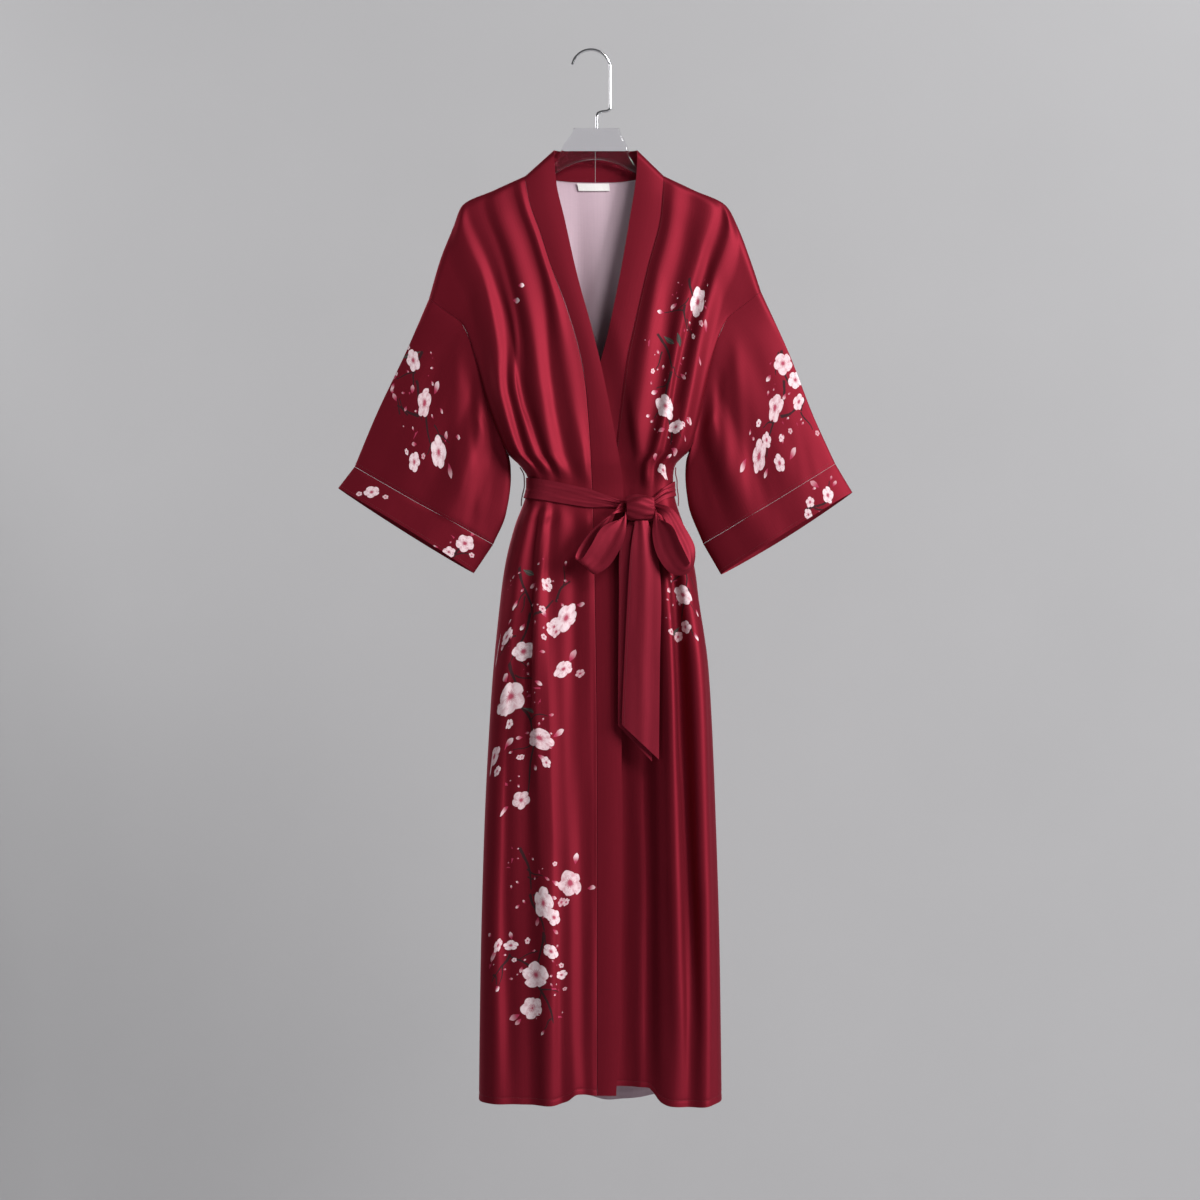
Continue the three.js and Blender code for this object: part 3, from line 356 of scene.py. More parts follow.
def acrossAt(folds, c, row):
    last = len(folds["placeAt"]) + 1
    line = int(clamp(math.floor(c), 0, last - 1))
    ends = [0 if i == 0 else 1 if i == last else folds["placeAt"][i - 1](row) for i in (line, line + 1)]
    return lerp(ends[0], ends[1], c - line)


def riseAt(folds, c, row):
    last = len(folds["riseAt"]) + 1
    line = int(clamp(math.floor(c), 0, last - 1))
    ends = [0 if i in (0, last) else folds["riseAt"][i - 1](row) for i in (line, line + 1)]
    return lerp(ends[0], ends[1], ease(c - line))


def armholeDepth(row, deep):
    if row >= underarmRow:
        return 0
    closing = quarterRound((1 - armShare(row)) / 0.1)
    return lerp(robe["rollRadius"], deep, ease(armShare(row) / 0.4)) * closing * shoulderRoll(row)


def turned(edgeDepth, fullDepth, distance):
    side = quarterRound(distance / robe["sideRadius"])
    crown = quarterRound(distance / robe["crownRadius"])
    return lerp(edgeDepth, fullDepth, 0.8 * side + 0.2 * crown)


def edgePoint(side, row):
    return [side["edgeX"](side["edgeZ"](row)), side["edgeZ"](row)]


def seamPoint(side, row):
    return [side["seamX"](seamZ(row)), seamZ(row)]


def shoulderPoint(side, share):
    return [side["shoulderX"](share), side["shoulderZ"](share)]


def hemWeight(row):
    return clamp((row - hemRow + 3) / 3, 0, 1) ** 2


def lapBack(x, z):
    depth = lerp(robe["lapDepth"], robe["lapAtBelt"], ease(1 - (abs(z - beltZ(40)) - 15) / 40))
    return depth * ease((rightSide["freeX"](z) + robe["lapFade"] - x) / robe["lapFade"])


def hemLine(points):
    return curve([p[0] for p in points], [p[1] for p in points])


rightHem = hemLine([(0, 0), (0.3, 0), (0.6, -1), (0.74, 4), (0.84, 14), (1, 12)])
leftHem = hemLine([(0, 0), (0.2, -4), (0.42, -2), (0.5, 3), (0.6, 22), (1, 24)])
backHem = hemLine([(0, 0), (0.4, -1), (0.55, -9), (0.66, -5), (0.8, 2), (1, 0)])
rightFront = {"side": rightSide, "folds": rightFolds, "hem": rightHem, "under": False}
leftFront = {"side": leftSide, "folds": leftFolds, "hem": leftHem, "under": True}


def frontPoint(front, c, row):
    side, folds = front["side"], front["folds"]
    last = len(folds["placeAt"]) + 1
    onPanel = min(c, last)
    across = acrossAt(folds, onPanel, row)
    edge, seam = edgePoint(side, row), seamPoint(side, row)
    straight = mix(shoulderPoint(side, 0), shoulderPoint(side, 1), across)
    crown = shoulderPoint(side, across)
    fade = shoulderFade(row)
    x = lerp(edge[0], seam[0], across) + (crown[0] - straight[0]) * fade
    z = lerp(edge[1], seam[1], across) + (crown[1] - straight[1]) * fade
    full = frontDepth(row) * shoulderRoll(row)
    depth = turned(armholeDepth(row, 13), full, across * abs(seam[0] - edge[0]))
    rise = riseAt(folds, onPanel, row) * pressed(z, beltZ(x))
    if c > last:
        share = c - last
        x, z = lerp(seam[0], side["freeX"](freeZ(row)), share), lerp(seam[1], freeZ(row), share)
        depth += math.sin(math.pi * share) * shoulderRoll(row)
        rise = 0
    z += front["hem"](across) * hemWeight(row)
    if front["under"]:
        back = lapBack(x, z) * ease((row - 4) / 3)
        depth -= back
        rise *= 1 - ease(back / 3)
    return [x, -max(robe["seamGap"] / 2, depth + rise), z]


neck = {"columns": (4, 10), "depth": 11, "dip": 8, "top": -139, "centre": 6}


def backPoint(c, row):
    across = acrossAt(backFolds, c, row)
    fade = shoulderFade(row)
    edges = [edgePoint(rightSide, row), edgePoint(leftSide, row)]
    shares = [acrossAt(backFolds, column, row) for column in neck["columns"]]
    necks = []
    for side, share in zip((rightSide, leftSide), shares):
        plain = lerp(edges[0][0], edges[1][0], share)
        necks.append([lerp(plain, side["shoulderX"](1), fade), seamZ(row)])
    if across <= shares[0] or across >= shares[1]:
        i = 0 if across <= shares[0] else 1
        side = (rightSide, leftSide)[i]
        share = (1 - across) / (1 - shares[1]) if i else across / shares[0]
        straight = mix(shoulderPoint(side, 0), shoulderPoint(side, 1), share)
        crown = shoulderPoint(side, share)
        point = mix(edges[i], necks[i], share)
        point = [point[k] + (crown[k] - straight[k]) * fade for k in (0, 1)]
    else:
        share = (across - shares[0]) / (shares[1] - shares[0])
        point = mix(necks[0], necks[1], share)
        point[1] -= neck["dip"] * math.sin(math.pi * share) * fade
    x, z = point[0], point[1] + backHem(across) * hemWeight(row)
    inNeck = ease((across - shares[0]) / 0.04) * ease((shares[1] - across) / 0.04) * ease((6 - row) / 2)
    full = max(backDepth(row), neck["depth"] * inNeck)
    roll = lerp(shoulderRoll(row), 1, inNeck)
    distance = min(x - edges[0][0], edges[1][0] - x)
    depth = turned(armholeDepth(row, 11), full * roll, distance)
    rise = riseAt(backFolds, c, row) * pressed(z, beltBack["z"])
    return [x, max(robe["seamGap"] / 2, depth + rise), z]


rightSleeve = {
    "side": rightSide,
    "outer": [(0, -227, -347), (0.3, -258, -419), (0.68, -301, -510), (1, -331, -582)],
    "under": [(0, -115, -566), (0.12, -112.5, -580), (0.25, -112, -597), (0.62, -119, -648), (1, -137, -691)],
    "cuffSeam": [(0, -331, -582), (0.4, -249, -629), (0.73, -185, -664), (1, -137, -691)],
    "cuffEnd": [(0, -354, -612), (0.5, -260, -671), (1, -164, -731)],
}
leftSleeve = {
    "side": leftSide,
    "outer": [(0, 238, -337), (0.37, 278, -425), (0.71, 311, -510), (1, 342, -578)],
    "under": [(0, 137, -561), (0.12, 133, -575), (0.25, 132, -593), (0.6, 136, -634), (1, 157, -690)],
    "cuffSeam": [(0, 342, -578), (0.33, 279, -617), (0.66, 216, -655), (1, 157, -690)],
    "cuffEnd": [(0, 366, -618), (0.5, 274, -677), (1, 182, -733)],
}
sleeveLevels = [0.1, 0.5, 1]
sleevePlaces = [curve(sleeveLevels, v) for v in [
    (0.28, 0.26, 0.27), (0.46, 0.44, 0.46), (0.62, 0.63, 0.64), (0.82, 0.8, 0.81)]]
sleeveRises = [curve(sleeveLevels, v) for v in [(0, 2.5, 2), (0, 0, 0), (5, 9, 4), (-1, -3, 0)]]
sleeveDepth = curve([0, 0.3, 1, 1.25], [13, 15, 18, 19])
for sleeve in (rightSleeve, leftSleeve):
    for name in ("outer", "under", "cuffSeam", "cuffEnd"):
        spots = sleeve[name]
        sleeve[name + "X"] = curve([s[0] for s in spots], [s[1] for s in spots])
        sleeve[name + "Z"] = curve([s[0] for s in spots], [s[2] for s in spots])


def sleeveLine(sleeve, name, share):
    return [sleeve[name + "X"](share), sleeve[name + "Z"](share)]


def sleeveFold(w, t):
    places = [0] + [place(t) for place in sleevePlaces] + [1]
    rises = [0] + [rise(t) for rise in sleeveRises] + [0]
    i = 0
    while i < len(places) - 2 and w > places[i + 1]:
        i += 1
    return lerp(rises[i], rises[i + 1], ease((w - places[i]) / (places[i + 1] - places[i])))


# From armhole (0) by cuff seam (1) to the open end (2); half is -1 in front, 1 behind.
def sleevePoint(sleeve, row, t, half):
    w = armShare(row)
    run = min(t, 1)
    corners = [sleeveLine(sleeve, name, share) for share in (0, 1) for name in ("outer", "under")]
    rails = mix(sleeveLine(sleeve, "outer", run), sleeveLine(sleeve, "under", run), w)
    rungs = mix(edgePoint(sleeve["side"], row), sleeveLine(sleeve, "cuffSeam", w), run)
    flat = mix(mix(corners[0], corners[1], w), mix(corners[2], corners[3], w), run)
    x, z = rails[0] + rungs[0] - flat[0], rails[1] + rungs[1] - flat[1]
    roundness = max(0, math.sin(math.pi * w)) ** 0.6
    if t > 1:
        reach = (t - 1) * (1 + half * robe["cuffSlip"] * roundness)
        x, z = mix(sleeveLine(sleeve, "cuffSeam", w), sleeveLine(sleeve, "cuffEnd", w), reach)
    free = ease(run / 0.25)
    height = sleeveFold(w, run) * (1 if half < 0 else 0.6)
    opening = sleeveDepth(run + (0.25 * (t - 1) if t > 1 else 0)) * roundness
    opening += height * free * (0.6 if t > 1 else 1)
    depth = lerp(armholeDepth(row, 13 if half < 0 else 11), opening, free)
    return [x, half * max(0, depth), z]


# Small creases: a crest or valley of given height and width along points x, z.
def creaseField(x, z, creases):
    total = np.zeros_like(x)
    for height, width, path in creases:
        best = np.full(x.shape, 1e9)
        place = np.zeros_like(x)
        lengths = [math.dist(a, b) for a, b in zip(path, path[1:])]
        whole, done = sum(lengths), 0
        for (a, b), length in zip(zip(path, path[1:]), lengths):
            dx, dz = (b[0] - a[0]) / length, (b[1] - a[1]) / length
            t = np.clip((x - a[0]) * dx + (z - a[1]) * dz, 0, length)
            gap = np.hypot(x - a[0] - t * dx, z - a[1] - t * dz)
            nearer = gap < best
            place = np.where(nearer, (done + t) / whole, place)
            best = np.where(nearer, gap, best)
            done += length
        taper = easeAll(place / 0.3) * easeAll((1 - place) / 0.3)
        total += height * np.exp(-((best / width) ** 2)) * taper
    return total


def rippleField(x, z, seed, spacing, run):
    flat = []
    for a, b in zip(x.ravel(), z.ravel()):
        broad = noise.noise((a / spacing, seed, b / run))
        fine = noise.noise((a / spacing * 2.1, seed + 7, b / run * 1.7))
        flat.append(broad + 0.5 * fine)
    return np.array(flat).reshape(x.shape)


def gridNormals(grid, outward, wraps=False):
    closed = np.concatenate([grid, grid[:, :1]], axis=1) if wraps else grid
    facing = unit(np.cross(closed[1:, 1:] - closed[:-1, :-1], closed[:-1, 1:] - closed[1:, :-1]))
    total = np.zeros_like(closed)
    for down in (0, 1):
        for over in (0, 1):
            total[down:total.shape[0] - 1 + down, over:total.shape[1] - 1 + over] += facing
    if wraps:
        total[:, 0] += total[:, -1]
        total = total[:, :-1]
    middle = total[total.shape[0] // 2, total.shape[1] // 4]
    return unit(-total if np.dot(middle, outward) < 0 else total)


def flatten(normal, axis):
    normal = normal.copy()
    normal[..., axis] = 0
    return unit(normal)


def addObject(name, data):
    made = bpy.data.objects.new(name, data)
    bpy.context.scene.collection.objects.link(made)
    return made


def smooth(mesh, crease):
    mesh.polygons.foreach_set("use_smooth", [True] * len(mesh.polygons))
    mesh.set_sharp_from_angle(angle=math.radians(crease))


# The finished mesh of a curve or a modifier, whose holder then goes.
def builtMesh(holder, name, material=None):
    bpy.context.view_layer.update()
    mesh = bpy.data.meshes.new_from_object(holder.evaluated_get(bpy.context.evaluated_depsgraph_get()))
    bpy.data.objects.remove(holder)
    mesh.name = name
    if material:
        mesh.materials.clear()
        mesh.materials.append(material)
    return mesh


def makeObject(name, points, faces, materials, faceMaterials):
    mesh = bpy.data.meshes.new(name)
    mesh.from_pydata((points * mm).tolist(), [], faces.tolist())
    for material in materials:
        mesh.materials.append(material)
    mesh.polygons.foreach_set("material_index", faceMaterials)
    smooth(mesh, 50)
    mesh.update()
    return addObject(name, mesh)


def quads(a, b, c, d):
    return np.stack([a, b, c, d], axis=1)


pieces = {}
seams = {}


# A closed thin wall between two grids, with its cloth lengths as UV map and a place for the print.
def clothWall(name, outer, inner, materials, wraps=False, stamps=()):
    height, width = outer.shape[:2]
    spread = np.concatenate([outer, outer[:, :1]], axis=1) if wraps else outer
    acrossSteps = np.linalg.norm(np.diff(spread, axis=1), axis=2)
    downSteps = np.linalg.norm(np.diff(spread, axis=0), axis=2)
    s = np.concatenate([np.zeros((height, 1)), np.cumsum(acrossSteps, axis=1)], axis=1)
    s -= s[:, s.shape[1] // 2][:, None]
    t = np.concatenate([np.zeros((1, spread.shape[1])), np.cumsum(downSteps, axis=0)], axis=0)
    i, j = np.meshgrid(np.arange(height - 1), np.arange(s.shape[1] - 1), indexing="ij")
    i, j = i.ravel(), j.ravel()
    faceI, faceJ = quads(i, i + 1, i + 1, i), quads(j, j, j + 1, j + 1)
    count = len(faceI)
    parts = [
        (faceI, faceJ, np.zeros_like(faceI)),
        (faceI[:, ::-1], faceJ[:, ::-1], np.ones_like(faceI)),
    ]
    over = np.arange(s.shape[1] - 1)
    zero, full = np.zeros_like(over), np.full_like(over, height - 1)
    rimLayers = np.tile([0, 0, 1, 1], (len(over), 1))
    parts.append((quads(zero, zero, zero, zero), quads(over, over + 1, over + 1, over), rimLayers))
    parts.append((quads(full, full, full, full), quads(over + 1, over, over, over + 1), rimLayers))
    if not wraps:
        down = np.arange(height - 1)
        zero, full = np.zeros_like(down), np.full_like(down, width - 1)
        rimLayers = np.tile([0, 0, 1, 1], (len(down), 1))
        parts.append((quads(down + 1, down, down, down + 1), quads(zero, zero, zero, zero), rimLayers))
        parts.append((quads(down, down + 1, down + 1, down), quads(full, full, full, full), rimLayers))
    allI, allJ, allLayer = (np.concatenate([part[k] for part in parts]) for k in range(3))
    points = np.concatenate([outer.reshape(-1, 3), inner.reshape(-1, 3)])
    faces = allLayer * height * width + allI * width + allJ % width
    a, b, c, d = (points[faces[:, k]] for k in range(4))
    volume = (a * np.cross(b, c)).sum() + (a * np.cross(c, d)).sum()
    if volume < 0:
        faces, allI, allJ = faces[:, ::-1], allI[:, ::-1], allJ[:, ::-1]
    which = np.zeros(len(faces), dtype=np.int32)
    which[count:2 * count] = len(materials) - 1
    piece = makeObject(name, points, faces, materials, which)
    cloth = np.stack([s[allI, allJ], t[allI, allJ]], axis=-1)
    piece.data.uv_layers.new(name="cloth").data.foreach_set("uv", (cloth * mm).ravel())
    if stamps is not None:
        pressPrint(piece, cloth, count, outer, s, t, stamps)
    pieces[name] = piece


# Each stamp writes its own coordinates on the faces under it, in the first free map.
printMaps = ("printA", "printB", "printC", "printD")
layerOrder = {"twig": (0, 1, 2), "leaf": (1, 2, 0), "blossom": (3, 2, 1), "bud": (3, 2, 1, 0)}


def pressPrint(piece, cloth, count, outer, s, t, stamps):
    faces = len(cloth)
    middles = cloth[:count].mean(axis=1)
    maps = [np.full((faces, 4, 2), 9.0) for name in printMaps]
    facts = [np.zeros((faces, 4, 4)) for name in printMaps]
    taken = [np.zeros(faces, dtype=bool) for name in printMaps]
    width = outer.shape[1]
    dropped = 0
    for stamp in stamps:
        gap = np.hypot(outer[..., 0] - stamp["x"], outer[..., 2] - stamp["z"])
        gap = gap + np.where(outer[..., 1] * stamp["half"] < 0, 1e4, 0)
        i, j = np.unravel_index(np.argmin(gap), gap.shape)
        if gap[i, j] > printing["nearest"]:
            continue
        centre = np.array([s[i, j], t[i, j]])
        low, high = max(j - 1, 0), min(j + 1, width - 1)
        acrossWay = unit((outer[i, high] - outer[i, low])[[0, 2]])
        low, high = max(i - 1, 0), min(i + 1, outer.shape[0] - 1)
        downWay = unit((outer[high, j] - outer[low, j])[[0, 2]])
        turn = math.radians(stamp["turn"])
        wanted = np.array([math.cos(turn), math.sin(turn)])
        turn = math.atan2(wanted @ downWay, wanted @ acrossWay)
        spin = np.array([[math.cos(turn), -math.sin(turn)], [math.sin(turn), math.cos(turn)]])
        size = np.array([stamp["wide"], stamp["tall"]])
        under = np.zeros(faces, dtype=bool)
        under[:count] = (np.abs((middles - centre) @ spin) < size + printing["margin"]).all(axis=1)
        if not under.any():
            continue
        for layer in layerOrder[stamp["shape"]]:
            if not (taken[layer] & under).any():
                local = (cloth[under] - centre) @ spin / size
                maps[layer][under] = local * 0.1 + 0.5
                facts[layer][under] = (stamp["kind"] / 4, stamp["seed"], stamp["tint"], 1)
                taken[layer] |= under
                break
        else:
            dropped += 1
    if stamps:
        print(piece.name, "print:", len(stamps), "stamps,", dropped, "had no room")
    for layer, name in enumerate(printMaps):
        piece.data.uv_layers.new(name=name).data.foreach_set("uv", maps[layer].ravel())
        fact = piece.data.color_attributes.new(
            name=name + "Facts", type="FLOAT_COLOR", domain="CORNER")
        fact.data.foreach_set("color", facts[layer].ravel())


# Node helpers for materials.
def newGroup(name, inputs, outputs):
    group = bpy.data.node_groups.new(name, "ShaderNodeTree")
    for kind, socket, value in inputs:
        made = group.interface.new_socket(socket, in_out="INPUT", socket_type=kind)
        if value is not None:
            made.default_value = value
    for kind, socket in outputs:
        group.interface.new_socket(socket, in_out="OUTPUT", socket_type=kind)
    return group, group.nodes.new("NodeGroupInput"), group.nodes.new("NodeGroupOutput")


def feed(tree, socket, value):
    if isinstance(value, bpy.types.NodeSocket):
        tree.links.new(value, socket)
    elif value is not None:
        socket.default_value = value


def calc(tree, operation, *values):
    node = tree.nodes.new("ShaderNodeMath")
    node.operation = operation
    for socket, value in zip(node.inputs, values):
        feed(tree, socket, value)
    return node.outputs[0]


# A tree's own sums under short names, for long formulas.
def sumsOf(tree):
    def named(operation):
        return lambda *values: calc(tree, operation, *values)

    return [named(name) for name in ("MULTIPLY", "ADD", "SUBTRACT", "MULTIPLY_ADD", "MAXIMUM")]


def step(tree, value, low, high, start=0.0, end=1.0):
    node = tree.nodes.new("ShaderNodeMapRange")
    node.interpolation_type = "SMOOTHSTEP"
    for socket, entry in zip(node.inputs, (value, low, high, start, end)):
        feed(tree, socket, entry)
    return node.outputs[0]


def blend(tree, share, a, b):
    node = tree.nodes.new("ShaderNodeMix")
    node.data_type = "RGBA"
    for socket, value in ((node.inputs[0], share), (node.inputs[6], a), (node.inputs[7], b)):
        feed(tree, socket, value)
    return node.outputs[2]


def rgba(colour):
    return (*colour, 1.0)


def noiseOf(tree, vector, scale, detail=2.0, rough=0.5):
    node = tree.nodes.new("ShaderNodeTexNoise")
    feed(tree, node.inputs["Vector"], vector)
    node.inputs["Scale"].default_value = scale
    node.inputs["Detail"].default_value = detail
    node.inputs["Roughness"].default_value = rough
    return node.outputs[0]


def stretch(tree, vector, scale, shift=(0, 0, 0)):
    node = tree.nodes.new("ShaderNodeMapping")
    feed(tree, node.inputs["Vector"], vector)
    node.inputs["Location"].default_value = shift
    node.inputs["Scale"].default_value = scale
    return node.outputs[0]


# One stamp of the print: blossom, bud, leaf or twig, by its number of quarters.
def stampGroup():
    names = ("petal", "heart", "leaf", "twig")
    inks = [("NodeSocketColor", name.title(), rgba(printing[name])) for name in names]
    group, inside, outside = newGroup(
        "stampShape",
        [("NodeSocketVector", "Place", None), ("NodeSocketColor", "Facts", (0, 0, 0, 1)), *inks],
        [("NodeSocketColor", "Colour"), ("NodeSocketFloat", "Mask")],
    )
    times, plus, minus, timesPlus, most = sumsOf(group)
    place, petal, heart = (inside.outputs[name] for name in ("Place", "Petal", "Heart"))
    facts = group.nodes.new("ShaderNodeSeparateColor")
    feed(group, facts.inputs[0], inside.outputs["Facts"])
    kind, seed, tint = facts.outputs
    where = group.nodes.new("ShaderNodeSeparateXYZ")
    feed(group, where.inputs[0], place)
    x = timesPlus(where.outputs[0], 10.0, -5.0)
    y = timesPlus(where.outputs[1], 10.0, -5.0)
    shifted = group.nodes.new("ShaderNodeCombineXYZ")
    for socket, value in zip(shifted.inputs, (x, y, times(seed, 40.0))):
        feed(group, socket, value)
    wobble = minus(noiseOf(group, shifted.outputs[0], 1.6, 1.0), 0.5)
    grain = noiseOf(group, shifted.outputs[0], 5.0, 3.0, 0.6)
    radius = plus(calc(group, "SQRT", plus(times(x, x), times(y, y))), times(wobble, 0.22))
    angle = plus(calc(group, "ARCTAN2", y, x), timesPlus(wobble, 0.9, times(seed, 6.3)))
    fifth = math.pi * 0.4
    folded = minus(calc(group, "FLOORED_MODULO", angle, fifth), fifth / 2)
    out = minus(times(radius, calc(group, "COSINE", folded)), 0.50)
    beside = times(radius, calc(group, "SINE", folded))
    fromMiddle = calc(group, "SQRT", plus(times(out, out), times(times(beside, beside), 0.95)))
    blossom = step(group, minus(0.44, fromMiddle), -0.015, 0.035)
    blossom = most(blossom, step(group, radius, 0.22, 0.28, 1.0, 0.0))
    inner = step(group, radius, 0.04, timesPlus(grain, 0.42, 0.16), 1.0, 0.0)
    parting = step(group, calc(group, "ABSOLUTE", beside), 0.16, 0.34, 0.0, 0.42)
    parting = times(parting, step(group, radius, 0.5, 0.85, 1.0, 0.25))
    rays = step(group, calc(group, "COSINE", times(angle, 17.0)), 0.5, 0.9)
    rays = times(rays, step(group, radius, 0.3, 0.44, 0.7, 0.0))
    shade = times(step(group, grain, 0.45, 0.75), 0.38)
    deep = most(most(inner, parting), most(rays, shade))
    deep = calc(group, "MINIMUM", plus(deep, times(tint, 0.5)), 0.95)
    flowerColour = blend(group, deep, petal, heart)
    taper = minus(1.0, times(x, x))
    lean = timesPlus(x, 0.35, 1.0)
    width = times(times(taper, lean), 0.62)
    side = calc(group, "ABSOLUTE", plus(y, times(wobble, 0.2)))
    oval = step(group, minus(width, side), -0.02, 0.04)
    budColour = blend(group, step(group, x, -0.6, 0.7), heart, petal)
    budColour = blend(group, times(tint, 0.75), budColour, heart)
    rib = step(group, side, 0.0, 0.09, 0.35, 0.0)
    pale = plus(rib, times(grain, 0.12))
    leafColour = blend(group, pale, inside.outputs["Leaf"], rgba(printing["rib"]))
    bend = times(calc(group, "SINE", timesPlus(x, 2.6, times(seed, 6.0))), 0.3)
    stem = calc(group, "ABSOLUTE", minus(y, bend))
    thick = timesPlus(x, -0.07, timesPlus(grain, 0.24, 0.06))
    tips = step(group, calc(group, "ABSOLUTE", x), 0.9, 1.0, 1.0, 0.0)
    twig = times(step(group, minus(thick, stem), -0.03, 0.03), tips)
    colour, mask = flowerColour, blossom
    others = ((oval, budColour), (oval, leafColour), (twig, inside.outputs["Twig"]))
    for number, (shape, paint) in enumerate(others, 2):
        chosen = calc(group, "COMPARE", kind, number / 4, 0.05)
        colour = blend(group, chosen, colour, paint)
        mask = plus(times(mask, minus(1.0, chosen)), times(shape, chosen))
    shown = calc(group, "GREATER_THAN", kind, 0.1)
    feed(group, outside.inputs["Colour"], colour)
    feed(group, outside.inputs["Mask"], times(mask, shown))
    return group


# Fine satin weave with long floats, from the piece's own cloth map.
def weaveGroup():
    group, inside, outside = newGroup(
        "satinWeave",
        [("NodeSocketVector", "Cloth", None), ("NodeSocketFloat", "Thread", 1400.0)],
        [("NodeSocketFloat", "Height"), ("NodeSocketFloat", "Tone")],
    )
    times, plus = sumsOf(group)[:2]
    cloth = inside.outputs["Cloth"]
    where = group.nodes.new("ShaderNodeSeparateXYZ")
    feed(group, where.inputs[0], cloth)
    warp = calc(group, "SINE", times(where.outputs[0], inside.outputs["Thread"]))
    slub = noiseOf(group, stretch(group, cloth, (60, 900, 1)), 1.0, 3.0, 0.6)
    long = noiseOf(group, stretch(group, cloth, (500, 14, 1)), 1.0, 2.0, 0.5)
    floats = plus(slub, long)
    feed(group, outside.inputs["Height"], plus(times(warp, 0.25), floats))
    feed(group, outside.inputs["Tone"], times(floats, 0.5))
    return group


stampShape = stampGroup()
satinWeave = weaveGroup()


def startMaterial(name):
    material = bpy.data.materials.new(name)
    material.use_nodes = True
    tree = material.node_tree
    return material, tree, tree.nodes["Principled BSDF"]


def uvOf(tree, name):
    node = tree.nodes.new("ShaderNodeUVMap")
    node.uv_map = name
    return node.outputs[0]


def satinMaterial(name, colour, roughness, printed=False, sheen=0.1, anisotropic=0.0, metallic=0.0):
    material, tree, shader = startMaterial(name)
    weave = tree.nodes.new("ShaderNodeGroup")
    weave.node_tree = satinWeave
    feed(tree, weave.inputs["Cloth"], uvOf(tree, "cloth"))
    dark, light = (rgba([v * share for v in colour]) for share in (0.86, 1.14))
    tone = blend(tree, weave.outputs["Tone"], dark, light)
    rough = step(tree, weave.outputs["Tone"], 0.2, 0.8, roughness - 0.03, roughness + 0.05)
    if printed:
        inked = None
        for layer in printMaps:
            stamp = tree.nodes.new("ShaderNodeGroup")
            stamp.node_tree = stampShape
            facts = tree.nodes.new("ShaderNodeAttribute")
            facts.attribute_name = layer + "Facts"
            feed(tree, stamp.inputs["Place"], uvOf(tree, layer))
            feed(tree, stamp.inputs["Facts"], facts.outputs["Color"])
            mask = stamp.outputs["Mask"]
            tone = blend(tree, mask, tone, stamp.outputs["Colour"])
            inked = mask if inked is None else calc(tree, "MAXIMUM", inked, mask)
        rough = calc(tree, "ADD", rough, calc(tree, "MULTIPLY", inked, 0.12))
        bare = calc(tree, "SUBTRACT", 1.0, inked)
        feed(tree, shader.inputs["Metallic"], calc(tree, "MULTIPLY", bare, metallic))
    feed(tree, shader.inputs["Base Color"], tone)
    feed(tree, shader.inputs["Roughness"], rough)
    if not printed:
        shader.inputs["Metallic"].default_value = metallic
    shader.inputs["Sheen Weight"].default_value = sheen
    shader.inputs["Sheen Roughness"].default_value = 0.35
    shader.inputs["Sheen Tint"].default_value = rgba(satin["sheen"])
    if metallic:
        shader.inputs["Specular IOR Level"].default_value = satin["specular"]
        shader.inputs["Specular Tint"].default_value = rgba(satin["tint"])
    shader.inputs["Anisotropic"].default_value = anisotropic
    if anisotropic:
        tangent = tree.nodes.new("ShaderNodeTangent")
        tangent.direction_type = "UV_MAP"
        tangent.uv_map = "cloth"
        feed(tree, shader.inputs["Tangent"], tangent.outputs[0])
    bump = tree.nodes.new("ShaderNodeBump")
    bump.inputs["Strength"].default_value = satin["weave"]
    bump.inputs["Distance"].default_value = 0.0004
    feed(tree, bump.inputs["Height"], weave.outputs["Height"])
    feed(tree, shader.inputs["Normal"], bump.outputs[0])
    return material


gloss = (satin["anisotropic"], satin["metallic"])
printedSatin = satinMaterial("printedSatin", satin["colour"], satin["roughness"], True, 0.03, *gloss)
beltSatin = satinMaterial("beltSatin", satin["belt"], satin["roughness"], False, 0.03, *gloss)
reverseSatin = satinMaterial("reverseSatin", satin["reverse"], 0.52, False, 0.1)
threadMaterial = satinMaterial("sewingThread", [v * 0.8 for v in satin["colour"]], 0.55)
labelCloth = satinMaterial("labelCloth", (0.80, 0.78, 0.75), 0.7)

plastic = {"Base Color": (0.93, 0.92, 0.95, 1), "Roughness": 0.04, "IOR": 1.49, "Transmission Weight": 1.0}
chrome = {"Base Color": (0.72, 0.72, 0.74, 1), "Metallic": 1.0}
clearPlastic, clearTree, clearShader = startMaterial("clearPlastic")
chromeWire, wireTree, wireShader = startMaterial("chromeWire")
for shader, values in ((clearShader, plastic), (wireShader, chrome)):
    for socket, value in values.items():
        shader.inputs[socket].default_value = value
wirePlace = wireTree.nodes.new("ShaderNodeTexCoord")
wireGrain = noiseOf(wireTree, wirePlace.outputs["Object"], 90, 3.0)
feed(wireTree, wireShader.inputs["Roughness"], step(wireTree, wireGrain, 0.3, 0.8, 0.10, 0.22))
print("materials made")

# Fine rows and columns of the cloth grids.
fineRows = []
for i in range(hemRow):
    drop = abs(rows[i + 1]["seamZ"] - rows[i]["seamZ"])
    parts = max(3 if i < 4 else 1, round(drop / robe["rowStep"]))
    fineRows += [i + k / parts for k in range(parts)]
hemStitchRow = hemRow - stitching["hemInset"] / 77
hemRows = [hemStitchRow + shift for shift in (-0.05, -0.025, 0, 0.025, 0.05)]
fineRows = sorted([row for row in fineRows if abs(row - hemStitchRow) > 0.06] + hemRows + [hemRow])
random.seed(printing["seed"])

